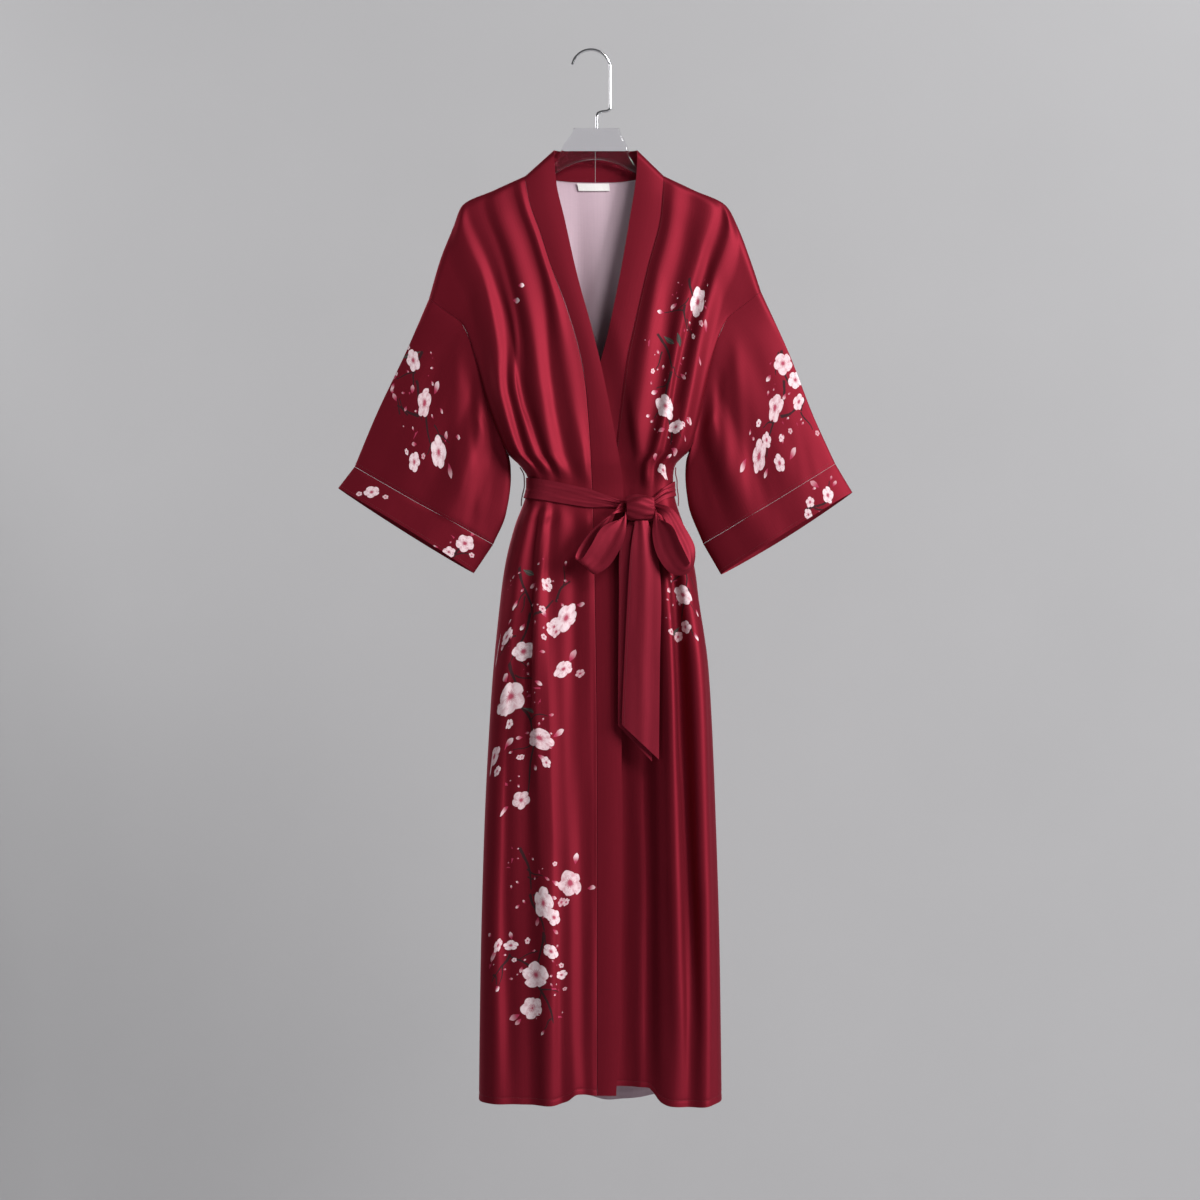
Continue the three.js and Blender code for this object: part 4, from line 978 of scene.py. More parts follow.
# Small creases in millimetres: height, width, then places x, z from top to bottom.
rightCreases = [
    (1.6, 7, [(-161, -282), (-136, -378), (-101, -499), (-78, -566), (-52, -604)]),
    (-7.0, 6, [(-141, -282), (-116, -378), (-92, -499), (-64, -566)]),
    (1.2, 9, [(-106, -282), (-83, -378), (-71, -499), (-56, -566), (-36, -606)]),
    (-1.8, 5, [(-71, -290), (-62, -378), (-52, -499), (-35, -566), (-20, -604)]),
    (1.4, 6, [(-66, -282), (-49, -378), (-29, -499), (-7, -566)]),
    (-1.4, 7, [(-165, -270), (-150, -330), (-140, -400)]),
    (6.5, 12, [(-50, -640), (-64, -740), (-60, -900), (-54, -1100), (-56, -1467), (-56, -1640)]),
    (-6.5, 11, [(-84, -660), (-104, -800), (-118, -950), (-120, -1200), (-112, -1467), (-112, -1600)]),
    (-1.6, 16, [(14, -700), (4, -860), (-8, -1050), (-6, -1300)]),
    (1.0, 10, [(-40, -640), (-66, -700), (-74, -800), (-70, -900)]),
    (-2.4, 5, [(-60, -645), (-80, -760), (-86, -880), (-80, -1010)]),
    (1.8, 4, [(-56, -650), (-76, -760), (-78, -900), (-72, -1050)]),
    (1.2, 12, [(10, -660), (8, -800), (-6, -960), (-16, -1120)]),
    (-1.4, 9, [(-20, -670), (-24, -800), (-30, -950), (-26, -1100)]),
    (1.3, 14, [(-110, -760), (-122, -900), (-128, -1060), (-124, -1200)]),
    (-1.3, 12, [(-100, -1100), (-108, -1250), (-104, -1400)]),
    (1.2, 14, [(-52, -1120), (-56, -1260), (-60, -1420)]),
    (-1.2, 10, [(-10, -1180), (-14, -1300), (-20, -1440)]),
    (0.9, 5, [(-80, -660), (-62, -648), (-40, -640)]),
    (-0.9, 4, [(-70, -672), (-50, -655), (-24, -648)]),
]
leftCreases = [
    (1.4, 8, [(94, -282), (74, -400), (60, -500), (52, -590)]),
    (-2.0, 6, [(112, -282), (96, -400), (86, -490), (74, -590)]),
    (1.5, 6, [(139, -282), (118, -400), (104, -500), (92, -590)]),
    (-2.0, 5, [(157, -282), (136, -400), (120, -500), (104, -590)]),
    (1.3, 7, [(182, -290), (150, -400), (134, -490), (116, -570)]),
    (-10.0, 30, [(44, -600), (46, -860), (52, -1100), (54, -1400), (54, -1760)]),
    (-7.0, 9, [(66, -700), (74, -908), (80, -1188), (80, -1440), (80, -1600)]),
    (5.0, 9, [(96, -640), (108, -800), (111, -908), (118, -1188), (126, -1440), (126, -1600)]),
    (-8.5, 8, [(112, -640), (122, -800), (126, -908), (138, -1188), (144, -1400)]),
    (6.0, 10, [(130, -660), (146, -800), (150, -908), (158, -1188), (158, -1440), (158, -1600)]),
    (1.8, 5, [(92, -650), (106, -740), (112, -880), (110, -1040)]),
    (-2.2, 5, [(102, -655), (119, -760), (126, -900), (124, -1060)]),
    (1.2, 12, [(112, -660), (148, -800), (152, -950), (150, -1120)]),
    (-1.6, 8, [(70, -660), (64, -800), (66, -960), (72, -1120)]),
    (1.4, 10, [(112, -1080), (118, -1240), (122, -1420)]),
    (-1.2, 9, [(150, -1150), (152, -1300), (148, -1440)]),
    (1.0, 10, [(60, -1180), (64, -1300), (58, -1440)]),
    (0.9, 4, [(70, -648), (92, -652), (116, -668)]),
    (-0.9, 4, [(66, -660), (90, -668), (120, -690)]),
]
backCreases = [
    (1.8, 9, [(-120, -240), (-96, -380), (-70, -520), (-52, -600)]),
    (-1.6, 8, [(-80, -230), (-66, -380), (-48, -520), (-36, -600)]),
    (1.5, 10, [(-20, -250), (-14, -400), (-4, -520), (2, -600)]),
    (-1.8, 8, [(60, -240), (50, -380), (40, -500), (34, -600)]),
    (1.7, 9, [(110, -240), (98, -380), (84, -500), (66, -600)]),
    (-1.5, 8, [(150, -260), (130, -380), (112, -500), (88, -600)]),
    (2.0, 7, [(-50, -640), (-70, -780), (-86, -960), (-92, -1150)]),
    (-2.0, 7, [(-20, -640), (-34, -780), (-44, -960), (-46, -1150)]),
    (1.8, 9, [(10, -640), (12, -800), (6, -960), (2, -1140)]),
    (-1.8, 8, [(50, -640), (62, -780), (64, -960), (60, -1150)]),
    (1.9, 8, [(80, -640), (104, -780), (118, -960), (124, -1150)]),
    (1.4, 12, [(-120, -900), (-128, -1100), (-124, -1350)]),
    (-1.4, 12, [(-70, -1150), (-74, -1300), (-70, -1440)]),
    (1.4, 12, [(40, -1150), (36, -1300), (40, -1440)]),
    (-1.3, 10, [(150, -1000), (154, -1200), (150, -1400)]),
]


def panelGrid(pointAt, last, creases, sign, seed):
    perFold = robe["columnsPerFold"]
    columns = [k / perFold for k in range(int(last * perFold) + 1)]
    grid = np.array([[pointAt(c, row) for c in columns] for row in fineRows])
    normals = gridNormals(grid, (0, sign, 0))
    x, z = grid[..., 0], grid[..., 2]
    c = np.array(columns)[None, :]
    row = np.array(fineRows)[:, None]
    edges = easeAll(c / 0.8) * easeAll((last - c) / 0.6) * easeAll((row - 1) / 4)
    near = np.abs(z - (np.vectorize(beltZ)(x) if sign < 0 else beltBack["z"]))
    edges = edges * (belt["press"] + (1 - belt["press"]) * easeAll((near - belt["reach"]) / belt["fade"]))
    belowBelt = robe["bodice"] + (1 - robe["bodice"]) * easeAll((-590 - z) / 60)
    relief = creaseField(x, z, creases) * belowBelt * (0.2 + 0.8 * easeAll((-250 - z) / 130))
    calmTop = 0.35 + 0.65 * easeAll((-300 - z) / 200)
    relief = relief + robe["ripple"] * rippleField(x, z, seed, 26, 150) * calmTop
    groove = robe["groove"] * np.exp(-(((last - c) / 0.09) ** 2)) * easeAll((row - 1) / 3)
    groove = groove * (sign < 0) + 0.55 * np.exp(-(((row - hemStitchRow) / 0.02) ** 2))
    grid = grid + normals * (relief * edges - groove)[..., None]
    return grid, columns


def bandColumns(front, last):
    return np.array([[frontPoint(front, last + k / 8, row) for k in range(9)] for row in fineRows])


printed = "front_right front_left back_panel sleeve_right sleeve_left cuff_right cuff_left"
stamps = {name: [] for name in printed.split()}
kinds = {"blossom": 1, "bud": 2, "leaf": 3, "twig": 4}


def stampOn(piece, kind, x, z, wide, tall=None, turn=0, half=-1, tint=0.0):
    stamps[piece].append({
        "kind": kinds[kind], "shape": kind, "x": x, "z": z, "wide": wide, "tall": tall or wide,
        "turn": turn, "half": half, "seed": random.random(), "tint": tint,
    })


# Flowers, one by one, each with a few buds beside it.
def flowers(piece, spots, half=-1):
    for x, z, size in spots:
        turn = random.uniform(0, 360)
        size *= printing["bloom"]
        tall = size * random.uniform(0.62, 1)
        stampOn(piece, "blossom", x, z, size, tall, turn, half, random.uniform(0, 0.4))
        for bud in range(random.choice((1, 2, 2, 3))):
            angle = random.uniform(0, 2 * math.pi)
            reach = size + random.uniform(4, 12)
            small = random.uniform(4, 9)
            kind = random.choice(("bud", "bud", "blossom"))
            away = (x + reach * math.cos(angle), z + reach * math.sin(angle))
            stampOn(piece, kind, *away, small, small * 0.8, math.degrees(angle), half, random.uniform(0.1, 1))


# A branch: dark twigs end to end along its places, with side shoots, leaves and dots of colour.
def branch(piece, path, half=-1, leaves=2):
    for (x0, z0), (x1, z1) in zip(path, path[1:]):
        length = math.dist((x0, z0), (x1, z1))
        turn = math.degrees(math.atan2(z1 - z0, x1 - x0))
        stampOn(piece, "twig", (x0 + x1) / 2, (z0 + z1) / 2, length * 0.54, 9, turn, half)
        for dot in range(round(length / 7)):
            share, side = random.random(), random.choice((-1, 1)) * random.uniform(5, 24)
            lean = math.radians(turn + 90)
            small = random.uniform(1.4, 3.4)
            x = lerp(x0, x1, share) + side * math.cos(lean)
            z = lerp(z0, z1, share) + side * math.sin(lean)
            spin = random.uniform(0, 360)
            stampOn(piece, "bud", x, z, small, small * 0.8, spin, half, random.uniform(0.3, 1))
        for shoot in range(max(1, round(length / 20))):
            share, side = random.random(), random.choice((-1, 1))
            lean = math.radians(turn + side * random.uniform(30, 70))
            reach = random.uniform(9, 17)
            x = lerp(x0, x1, share) + reach * math.cos(lean)
            z = lerp(z0, z1, share) + reach * math.sin(lean)
            stampOn(piece, "twig", x, z, reach, 5, math.degrees(lean), half)
            x, z = x + reach * 1.2 * math.cos(lean), z + reach * 1.2 * math.sin(lean)
            small = random.uniform(3, 6)
            kind = random.choice(("bud", "bud", "blossom"))
            stampOn(piece, kind, x, z, small, small * 0.8, math.degrees(lean), half, random.uniform(0, 1))
    for leaf in range(leaves):
        x, z = random.choice(path)
        turn = random.uniform(200, 340)
        x, z = x + 14 * math.cos(math.radians(turn)), z + 14 * math.sin(math.radians(turn))
        stampOn(piece, "leaf", x, z, random.uniform(9, 15), random.uniform(4, 7), turn, half)


branch("front_right", [(-96, -720), (-84, -790), (-110, -850), (-96, -915), (-74, -965), (-92, -1030)])
branch("front_right", [(-84, -790), (-50, -770), (-30, -745)], leaves=1)
branch("front_right", [(-96, -1110), (-84, -1170), (-66, -1225), (-76, -1290), (-52, -1350)], leaves=4)
branch("front_right", [(-76, -1290), (-112, -1262), (-138, -1286)], leaves=1)
branch("front_left", [(96, -400), (112, -450), (102, -505), (116, -550)])
branch("front_left", [(148, -318), (138, -360), (124, -392)], leaves=1)
branch("front_left", [(128, -700), (134, -750), (126, -800)], leaves=1)
branch("sleeve_right", [(-236, -420), (-248, -465), (-236, -510), (-214, -560)])
branch("sleeve_right", [(-236, -510), (-272, -505)], leaves=1)
branch("sleeve_left", [(262, -420), (276, -465), (262, -510), (236, -556)])
branch("sleeve_left", [(262, -510), (296, -505)], leaves=1)
branch("cuff_right", [(-196, -706), (-176, -694)], leaves=0)
branch("cuff_left", [(300, -648), (334, -626)], leaves=0)
flowers("front_right", [
    (-34, -792, 19), (-50, -806, 12), (-92, -842, 15), (-38, -866, 13), (-112, -905, 22), (-98, -924, 13),
    (-70, -962, 20), (-88, -975, 15), (-134, -985, 12), (-96, -1046, 12), (-118, -820, 9),
    (-74, -1150, 17), (-28, -1160, 18), (-66, -1184, 21), (-90, -1262, 12), (-76, -1284, 20),
    (-56, -1256, 11), (-82, -1334, 16), (-112, -1248, 10), (-50, -1206, 11), (-128, -1250, 8),
    (-62, -746, 9),
])
flowers("front_left", [
    (150, -352, 20), (132, -372, 11), (146, -408, 15), (104, -498, 17), (118, -526, 12), (98, -544, 12),
    (128, -762, 15), (118, -742, 9), (132, -806, 9), (100, -590, 8),
])
flowers("sleeve_right", [
    (-250, -432, 14), (-270, -456, 11), (-232, -494, 16), (-254, -490, 10), (-212, -564, 16),
    (-244, -576, 11), (-226, -544, 9),
])
flowers("sleeve_left", [
    (268, -438, 14), (286, -462, 11), (256, -500, 16), (290, -492, 10), (236, -568, 16),
    (262, -576, 11), (246, -546, 9),
])
flowers("cuff_right", [(-308, -618, 10), (-176, -690, 12), (-198, -700, 8)])
flowers("cuff_left", [(330, -622, 11), (304, -650, 8)])
for x, z, size in ((-96, -330, 5), (-104, -350, 6)):
    stampOn("front_right", "bud", x, z, size)
for path in ([(-92, -320), (-74, -370), (-82, -416)], [(106, -700), (90, -790), (104, -880), (92, -960)],
             [(90, -960), (78, -1040), (94, -1120)], [(-84, -1120), (-64, -1200), (-80, -1290)],
             [(60, -300), (76, -360)], [(10, -1290), (30, -1350)]):
    branch("back_panel", path, 1, 2)
    flowers("back_panel", [
        (x + random.uniform(-16, 16), z + random.uniform(-14, 14), random.uniform(11, 22))
        for x, z in path
    ], 1)
for piece, path in (("sleeve_right", [(-240, -440), (-228, -500), (-250, -560)]),
                    ("sleeve_left", [(262, -440), (250, -500), (276, -560)])):
    branch(piece, path, 1, 1)
    flowers(piece, [(x, z, random.uniform(11, 17)) for x, z in path], 1)
for piece in stamps:
    stamps[piece].sort(key=lambda stamp: (stamp["kind"] != 4, -stamp["wide"]))

clothMaterials = [printedSatin, reverseSatin]
fronts = {}
for name, front, creases, seed in (("right", rightFront, rightCreases, 3.1),
                                   ("left", leftFront, leftCreases, 8.4)):
    last = len(front["folds"]["placeAt"]) + 1
    grid, columns = panelGrid(lambda c, row: frontPoint(front, c, row), last, creases, -1, seed)
    band = bandColumns(front, last)
    whole = np.concatenate([grid, band[:, 1:]], axis=1)
    normals = gridNormals(whole, (0, -1, 0))
    normals[0] = flatten(normals[0], 1)
    underarm = fineRows.index(underarmRow)
    normals[underarm:, 0] = flatten(normals[underarm:, 0], 1)
    panelNormals = normals[:, :grid.shape[1]]
    panel = grid.copy()
    inward = unit(grid[:, -2] - grid[:, -1])
    panel[:, -1] += inward * robe["seamGap"] / 2
    inner = panel - panelNormals * robe["wall"]
    clothWall("front_" + name, panel, inner, clothMaterials, stamps=stamps["front_" + name])
    fronts[name] = {"band": band, "normals": normals[:, grid.shape[1] - 1:]}
    at = fineRows.index(hemStitchRow)
    seams["hem_" + name] = panel[at] + panelNormals[at] * stitching["lift"]
    seams["bandSeam_" + name] = (panel[:, -2] + panelNormals[:, -2] * stitching["lift"])[6:]
print("fronts sewn")

backLast = len(backFolds["placeAt"]) + 1
backGrid, backColumns = panelGrid(backPoint, backLast, backCreases, 1, 5.7)
backNormals = gridNormals(backGrid, (0, 1, 0))
outside = [j for j, c in enumerate(backColumns) if c <= neck["columns"][0] or c >= neck["columns"][1]]
backNormals[0, outside] = flatten(backNormals[0, outside], 1)
underarm = fineRows.index(underarmRow)
for column in (0, -1):
    backNormals[underarm:, column] = flatten(backNormals[underarm:, column], 1)
backInner = backGrid - backNormals * robe["wall"]
clothWall("back_panel", backGrid, backInner, clothMaterials, stamps=stamps["back_panel"])
at = fineRows.index(hemStitchRow)
seams["hem_back"] = backGrid[at] + backNormals[at] * stitching["lift"]
print("back sewn")

# Neckband: up each front, over the shoulder and round to the centre back.
freeBackRoll = curve([0, 0.15, 0.4, 1], [0, 8, 11.5, 12])
for name, sign in (("right", 1), ("left", -1)):
    strip = [list(line) for line in fronts[name]["band"][::-1]]
    seamNormals = list(fronts[name]["normals"][::-1, 0])
    strip[-1] = [np.array([p[0], 0, p[2]]) for p in strip[-1]]
    frontCount = len(strip)
    perFold = robe["columnsPerFold"]
    middle = 7 * perFold
    corner = neck["columns"][0 if sign > 0 else 1] * perFold
    freeStart = strip[-1][-1][0]
    j = corner + sign
    while (middle - j) * sign >= 0:
        share = (j - corner) / (middle - corner)
        low = backGrid[0, j].copy()
        if j == middle:
            low[0] = neck["centre"]
        high = np.array([lerp(freeStart, neck["centre"], share), freeBackRoll(share), neck["top"]])
        strip.append([low + (high - low) * k / 8 for k in range(9)])
        seamNormals.append(backNormals[0, j])
        j += sign
    strip = np.array(strip)
    strip[-1, :, 0] -= sign * robe["seamGap"] / 2
    normals = gridNormals(strip, (0, -1, 0))
    normals[:, 0] = np.array(seamNormals)
    normals[-1] = flatten(normals[-1], 0)
    shift = unit(strip[:, 1] - strip[:, 0]) * robe["seamGap"] / 2
    shift[frontCount:] = (0, 0, robe["seamGap"] / 2)
    strip[:, 0] += shift
    inner = strip - normals * robe["bandWall"]
    clothWall("neckband_" + name, strip, inner, [printedSatin])
print("neckband sewn")

# Sleeves and cuffs.
armRows = [row for row in fineRows if row <= underarmRow]
loopRows = [(row, -1) for row in armRows] + [(row, 1) for row in armRows[1:-1][::-1]]
sleeveSteps = [0.0012, 0.02, 0.05, 0.09] + [0.13 + 0.87 * k / 40 for k in range(41)]
cuffSteps = [1 + k / 10 for k in range(1, 11)]
sleeveCreases = {
    "right": [
        (1.6, 9, [(-178, -360), (-186, -450), (-188, -560), (-180, -640)]),
        (-2.2, 8, [(-160, -400), (-166, -500), (-160, -600)]),
        (0.9, 14, [(-226, -380), (-244, -460), (-262, -560)]),
        (-0.9, 14, [(-206, -390), (-222, -480), (-232, -590)]),
        (1.0, 8, [(-140, -560), (-150, -620), (-160, -660)]),
    ],
    "left": [
        (1.6, 9, [(198, -360), (204, -450), (212, -560), (206, -640)]),
        (-2.2, 8, [(176, -400), (178, -500), (180, -600)]),
        (0.9, 14, [(240, -380), (262, -460), (286, -560)]),
        (-0.9, 14, [(222, -390), (238, -480), (252, -590)]),
        (1.0, 8, [(152, -560), (168, -620), (180, -660)]),
    ],
}
for name, sleeve in (("right", rightSleeve), ("left", leftSleeve)):
    steps = sleeveSteps + cuffSteps
    grid = np.array([[sleevePoint(sleeve, row, t, half) for row, half in loopRows] for t in steps])
    normals = gridNormals(grid, (0, -1, 0), True)
    x, y, z = grid[..., 0], grid[..., 1], grid[..., 2]
    run = easeAll((np.array(steps)[:, None] - 0.02) / 0.2)
    w = np.array([armShare(row) for row, half in loopRows])[None, :]
    edges = run * easeAll(w / 0.08) * easeAll((1 - w) / 0.08)
    relief = creaseField(x, z, sleeveCreases[name]) * np.where(y < 0, 1.0, 0.8)
    seed = 2.2 if name == "right" else 6.6
    relief = relief + robe["ripple"] * 0.9 * rippleField(x + 3 * y, z, seed, 24, 120)
    relief[len(sleeveSteps):] *= 0.5
    groove = robe["groove"] * np.exp(-(((np.array(steps) - 1) / 0.02) ** 2))
    groove = groove + 0.2 * robe["groove"] * np.exp(-((np.array(steps) / 0.02) ** 2))
    groove = groove[:, None] * easeAll(w / 0.1) * easeAll((1 - w) / 0.1)
    grid = grid + normals * (relief * edges - groove)[..., None]
    normals = gridNormals(grid, (0, -1, 0), True)
    seamRing = len(sleeveSteps) - 1
    apart = unit(grid[seamRing + 1] - grid[seamRing]) * robe["seamGap"] / 2
    sleeveOuter = grid[:seamRing + 1].copy()
    sleeveOuter[-1] -= apart
    cuffOuter = grid[seamRing:].copy()
    cuffOuter[0] += apart
    sleeveInner = sleeveOuter - normals[:seamRing + 1] * robe["wall"]
    cuffInner = cuffOuter - normals[seamRing:] * robe["bandWall"]
    clothWall("sleeve_" + name, sleeveOuter, sleeveInner, clothMaterials, True, stamps["sleeve_" + name])
    clothWall("cuff_" + name, cuffOuter, cuffInner, [printedSatin], True, stamps["cuff_" + name])
    ring = seamRing - 1
    seams["cuffSeam_" + name] = grid[ring] + normals[ring] * stitching["lift"]
    ring = len(steps) - 2
    seams["cuffEnd_" + name] = grid[ring] + normals[ring] * stitching["lift"]
print("sleeves sewn")

# Belt round the waist.
rowAtZ = along([{"z": row["seamZ"], "i": i} for i, row in enumerate(rows)], "z", "i")
beltSteps = [0, 0.4, 0.9, 1.5, 2.5, 3.6, 5, 6.8, 8.8, 11] + [11 + 90.5 * k / 36 for k in range(1, 37)]


def beltPoint(step, quarter, level):
    front, right = quarter in (0, 3), quarter in (0, 1)
    x = belt["centre"] + (-1 if right else 1) * (belt["halfWidth"] - step)
    share = ease(step / 30)
    sideZ = beltZ(x)
    z = sideZ + level * beltHalf(x)
    if not front:
        z = lerp(sideZ, beltBack["z"], share) + level * lerp(beltHalf(x), beltBack["half"], share)
    half = (leftSide["edgeX"](z) - rightSide["edgeX"](z)) / 2
    middle = (leftSide["edgeX"](z) + rightSide["edgeX"](z)) / 2
    row = rowAtZ(z)
    depth = turned(0, frontDepth(row) if front else backDepth(row), step * half / belt["halfWidth"])
    across = (belt["halfWidth"] - step) / belt["halfWidth"]
    return [middle + (-1 if right else 1) * across * half, (-1 if front else 1) * depth, z]


beltLoop = [(s, 0) for s in beltSteps] + [(s, 3) for s in beltSteps[:-1][::-1]]
beltLoop += [(s, 2) for s in beltSteps[1:]] + [(s, 1) for s in beltSteps[1:-1][::-1]]
beltLevels = [1 - k / 8 for k in range(17)]
body = np.array([[beltPoint(s, q, level) for s, q in beltLoop] for level in beltLevels])
normals = flatten(gridNormals(body, (0, -1, 0), True), 2)
level = np.array(beltLevels)[:, None]
x = body[..., 0]
nearKnot = np.exp(-((x - 68) / 46) ** 2) * (body[..., 1] < 0)
lengthwise = np.sin(level * 7.5 + x / 37) * 0.5 + np.sin(level * 12.5 - x / 23 + 1.2) * 0.3
underKnot = 1 - np.exp(-((x - 68.5) / 17) ** 4) * (body[..., 1] < 0)
folds = belt["creases"] * lengthwise * (0.35 + 1.1 * nearKnot)
folds = folds * easeAll((1 - np.abs(level)) / 0.2) * underKnot
beltInner = body + normals * belt["clear"]
beltOuter = body + normals * (belt["clear"] + belt["wall"])
beltOuter = beltOuter + normals * (np.abs(folds) + folds * 0.3)[..., None]
clothWall("belt_waist", beltOuter, beltInner, [beltSatin], True, None)


# Ribbons of the bow: a middle line with the way and length of the cloth across it.
def spline(rowsIn, count):
    knots = np.array(rowsIn, dtype=float)
    padded = np.concatenate([[2 * knots[0] - knots[1]], knots, [2 * knots[-1] - knots[-2]]])
    places = np.linspace(0, len(knots) - 1, count + 1)
    out = []
    for place in places:
        i = min(int(place), len(knots) - 2)
        t = place - i
        a, b, c, d = padded[i:i + 4]
        square = (2 * a - 5 * b + 4 * c - d) * t * t
        out.append(0.5 * (2 * b + (c - a) * t + square + (3 * b - a - 3 * c + d) * t ** 3))
    return np.array(out)


def ribbon(name, stations, count, cup, folds, seed, hollow=0):
    line = spline(stations, count)
    share = np.linspace(-1, 1, 17)[None, :]
    grid = np.stack([line[:, k, None] + line[:, k + 3, None] * share / 2 for k in range(3)], axis=-1)
    place = np.linspace(0, 1, count + 1)[:, None]
    opened = hollow * easeAll((place - 0.56) / 0.16) * easeAll((1 - place) / 0.16)
    grid[..., 1] -= (cup - opened) * (1 - share ** 2)
    normals = gridNormals(grid, (0, -1, 0))
    waves = 0
    for height, pitch, shift, drift in folds:
        waves = waves + height * np.sin(share * pitch + shift + place * drift)
    uneven = 0.3 * rippleField(grid[..., 0], grid[..., 2], seed, 14, 60)
    waves = waves * (1 - 0.4 * np.abs(share)) + uneven
    grid = grid + normals * waves[..., None]
    normals = gridNormals(grid, (0, -1, 0))
    half = belt["ribbonWall"] / 2
    clothWall(name, grid + normals * half, grid - normals * half, [beltSatin], False, None)
    edge = grid[:, 1] + normals[:, 1] * (half + stitching["lift"])
    seams["edge_" + name] = edge[2:-2]


ribbon("bow_loop_right", [
    (48.7, -41, -640, 0, 2, 12), (34, -52, -645, 8, 10, 12), (14, -56, -672, 20, 14, -4),
    (-2, -57, -700, 24, 14, -14), (-10, -61, -719, 22, 12, -18), (-2, -66, -722, 22, 8, -20),
    (14, -66, -706, 30, 8, -22), (32, -63, -674, 30, 8, -14), (48.7, -52, -648, 0, 2, 14),
], 90, 0, [(0.6, 4.0, 0.4, 1.6), (0.35, 8.0, 1.4, -2.0)], 1.3, 4)
ribbon("bow_loop_left", [
    (89.4, -41, -640, 0, 2, 12), (106, -52, -648, 14, 10, 10), (120, -56, -672, 20, 14, 8),
    (134, -58, -702, 20, 14, 8), (136, -62, -722, 4, 14, -14), (124, -66, -724, -22, 8, -18),
    (108, -66, -700, -30, 8, -20), (98, -62, -672, -26, 8, -12), (89.4, -52, -648, 0, 2, 14),
], 90, 0, [(0.6, 4.2, 1.1, -1.5), (0.35, 8.4, 0.2, 2.2)], 4.7, 4)
ribbon("belt_tail_front", [
    (70, -50.5, -659, 18, 1, 0), (73, -54, -700, 36, 4, 0), (74, -54, -757, 46, 4, 0),
    (71, -53, -848, 49, 3, -2), (69, -53, -925, 51, 3, -20), (68.5, -53, -965, 51, 3, -48),
], 70, 2, [(0.7, 3.6, 0.8, 2.0), (0.35, 7.0, 2.0, -1.4)], 7.9)
ribbon("belt_tail_back", [
    (58, -44.5, -660.6, 12, 1, 0), (57, -48.5, -700, 34, 2, 0), (61, -48.5, -757, 44, 2, 0),
    (61, -48.5, -848, 46, 2, -2), (61, -48.5, -925, 47, 2, -20), (61, -48.5, -967, 47, 2, -50),
], 70, 1, [(0.4, 3.8, 2.4, 1.4)], 9.2)

knot = {"x": 68.5, "y": -45.6, "z": -642, "halfX": 19, "radiusY": 14, "radiusZ": 19,
        "backFlat": 0.85,  # the side on the belt is pressed flatter
        "backCalm": 0.7}  # and less creased
lines = []
for share in np.linspace(-1, 1, 29):
    ring = []
    for i in range(64):
        angle = i / 64 * math.pi * 2
        crease = 0.07 * math.cos(5 * angle + 2.2 * share) + 0.035 * math.cos(11 * angle - 3.1 * share)
        crease *= 1 - knot["backCalm"] * clamp(math.cos(angle) * 2, 0, 1)
        swell = 1 - 0.22 * share * share + crease
        flat = knot["backFlat"] if math.cos(angle) > 0 else 1
        y = knot["y"] + knot["radiusY"] * flat * swell * math.cos(angle)
        z = knot["z"] + knot["radiusZ"] * swell * math.sin(angle)
        ring.append((knot["x"] + share * knot["halfX"], y, z))
    lines.append(ring)
lines = np.array(lines)
normals = gridNormals(lines, (0, 0, 1), True)
clothWall("belt_knot", lines, lines - normals * belt["wall"], [beltSatin], True, None)
print("belt tied")


# Tubes for thread carriers and the hook.
def tube(name, path, radius, material):
    data = bpy.data.curves.new(name, "CURVE")
    data.dimensions = "3D"
    data.bevel_depth = radius * mm
    data.bevel_resolution = 5
    data.use_fill_caps = True
    line = data.splines.new("POLY")
    line.points.add(len(path) - 1)
    for point, place in zip(line.points, path):
        point.co = (*(place * mm), 1)
    mesh = builtMesh(addObject(name + "Path", data), name, material)
    smooth(mesh, 50)
    pieces[name] = addObject(name, mesh)


carrier = [(-583, 1), (-592, 2.5), (-601, 4.6), (-611, 4.8), (-622, 4.7), (-630, 3.2), (-637, 1)]
for name, side, sign in (("right", rightSide, -1), ("left", leftSide, 1)):
    path = spline([(side["edgeX"](z) + sign * (stand + 0.8), 0, z) for z, stand in carrier], 48)
    tube("belt_carrier_" + name, path, 0.8, threadMaterial)

labelRows, labelColumns = np.linspace(0.7, 2.25, 7), np.linspace(6.2, 7.6, 9)
face = np.array([[backPoint(c, row) for c in labelColumns] for row in labelRows])
labelOuter, labelInner = (face - np.array((0, depth, 0)) for depth in (3.2, 2.5))
clothWall("neck_label", labelOuter, labelInner, [labelCloth], False, None)

# Hanger: a moulded clear plate and a bent wire hook.
hanger = {"half": 4.5, "drop": 3.6, "tipDrop": 1.6, "round": 3.4}


def armLine(side, share):
    x, z = shoulderPoint(side, share)
    before, after = shoulderPoint(side, share - 0.01), shoulderPoint(side, share + 0.01)
    slope = unit(np.array(after) - np.array(before))
    flip = np.sign(slope[0])
    drop = hanger["drop"] + hanger["tipDrop"] * ease((0.82 - share) / 0.1)
    return (x + drop * slope[1] * flip, z - drop * slope[0] * flip)


def bezier(a, b, c, d, count=14):
    a, b, c, d = (np.array(p) for p in (a, b, c, d))
    spots = []
    for t in np.linspace(0, 1, count + 1)[1:]:
        spot = a * (1 - t) ** 3 + 3 * b * t * (1 - t) ** 2 + 3 * c * t * t * (1 - t) + d * t ** 3
        spots.append(tuple(spot))
    return spots


def beside(tip, x, z):
    return (tip[0] + x, tip[1] + z)


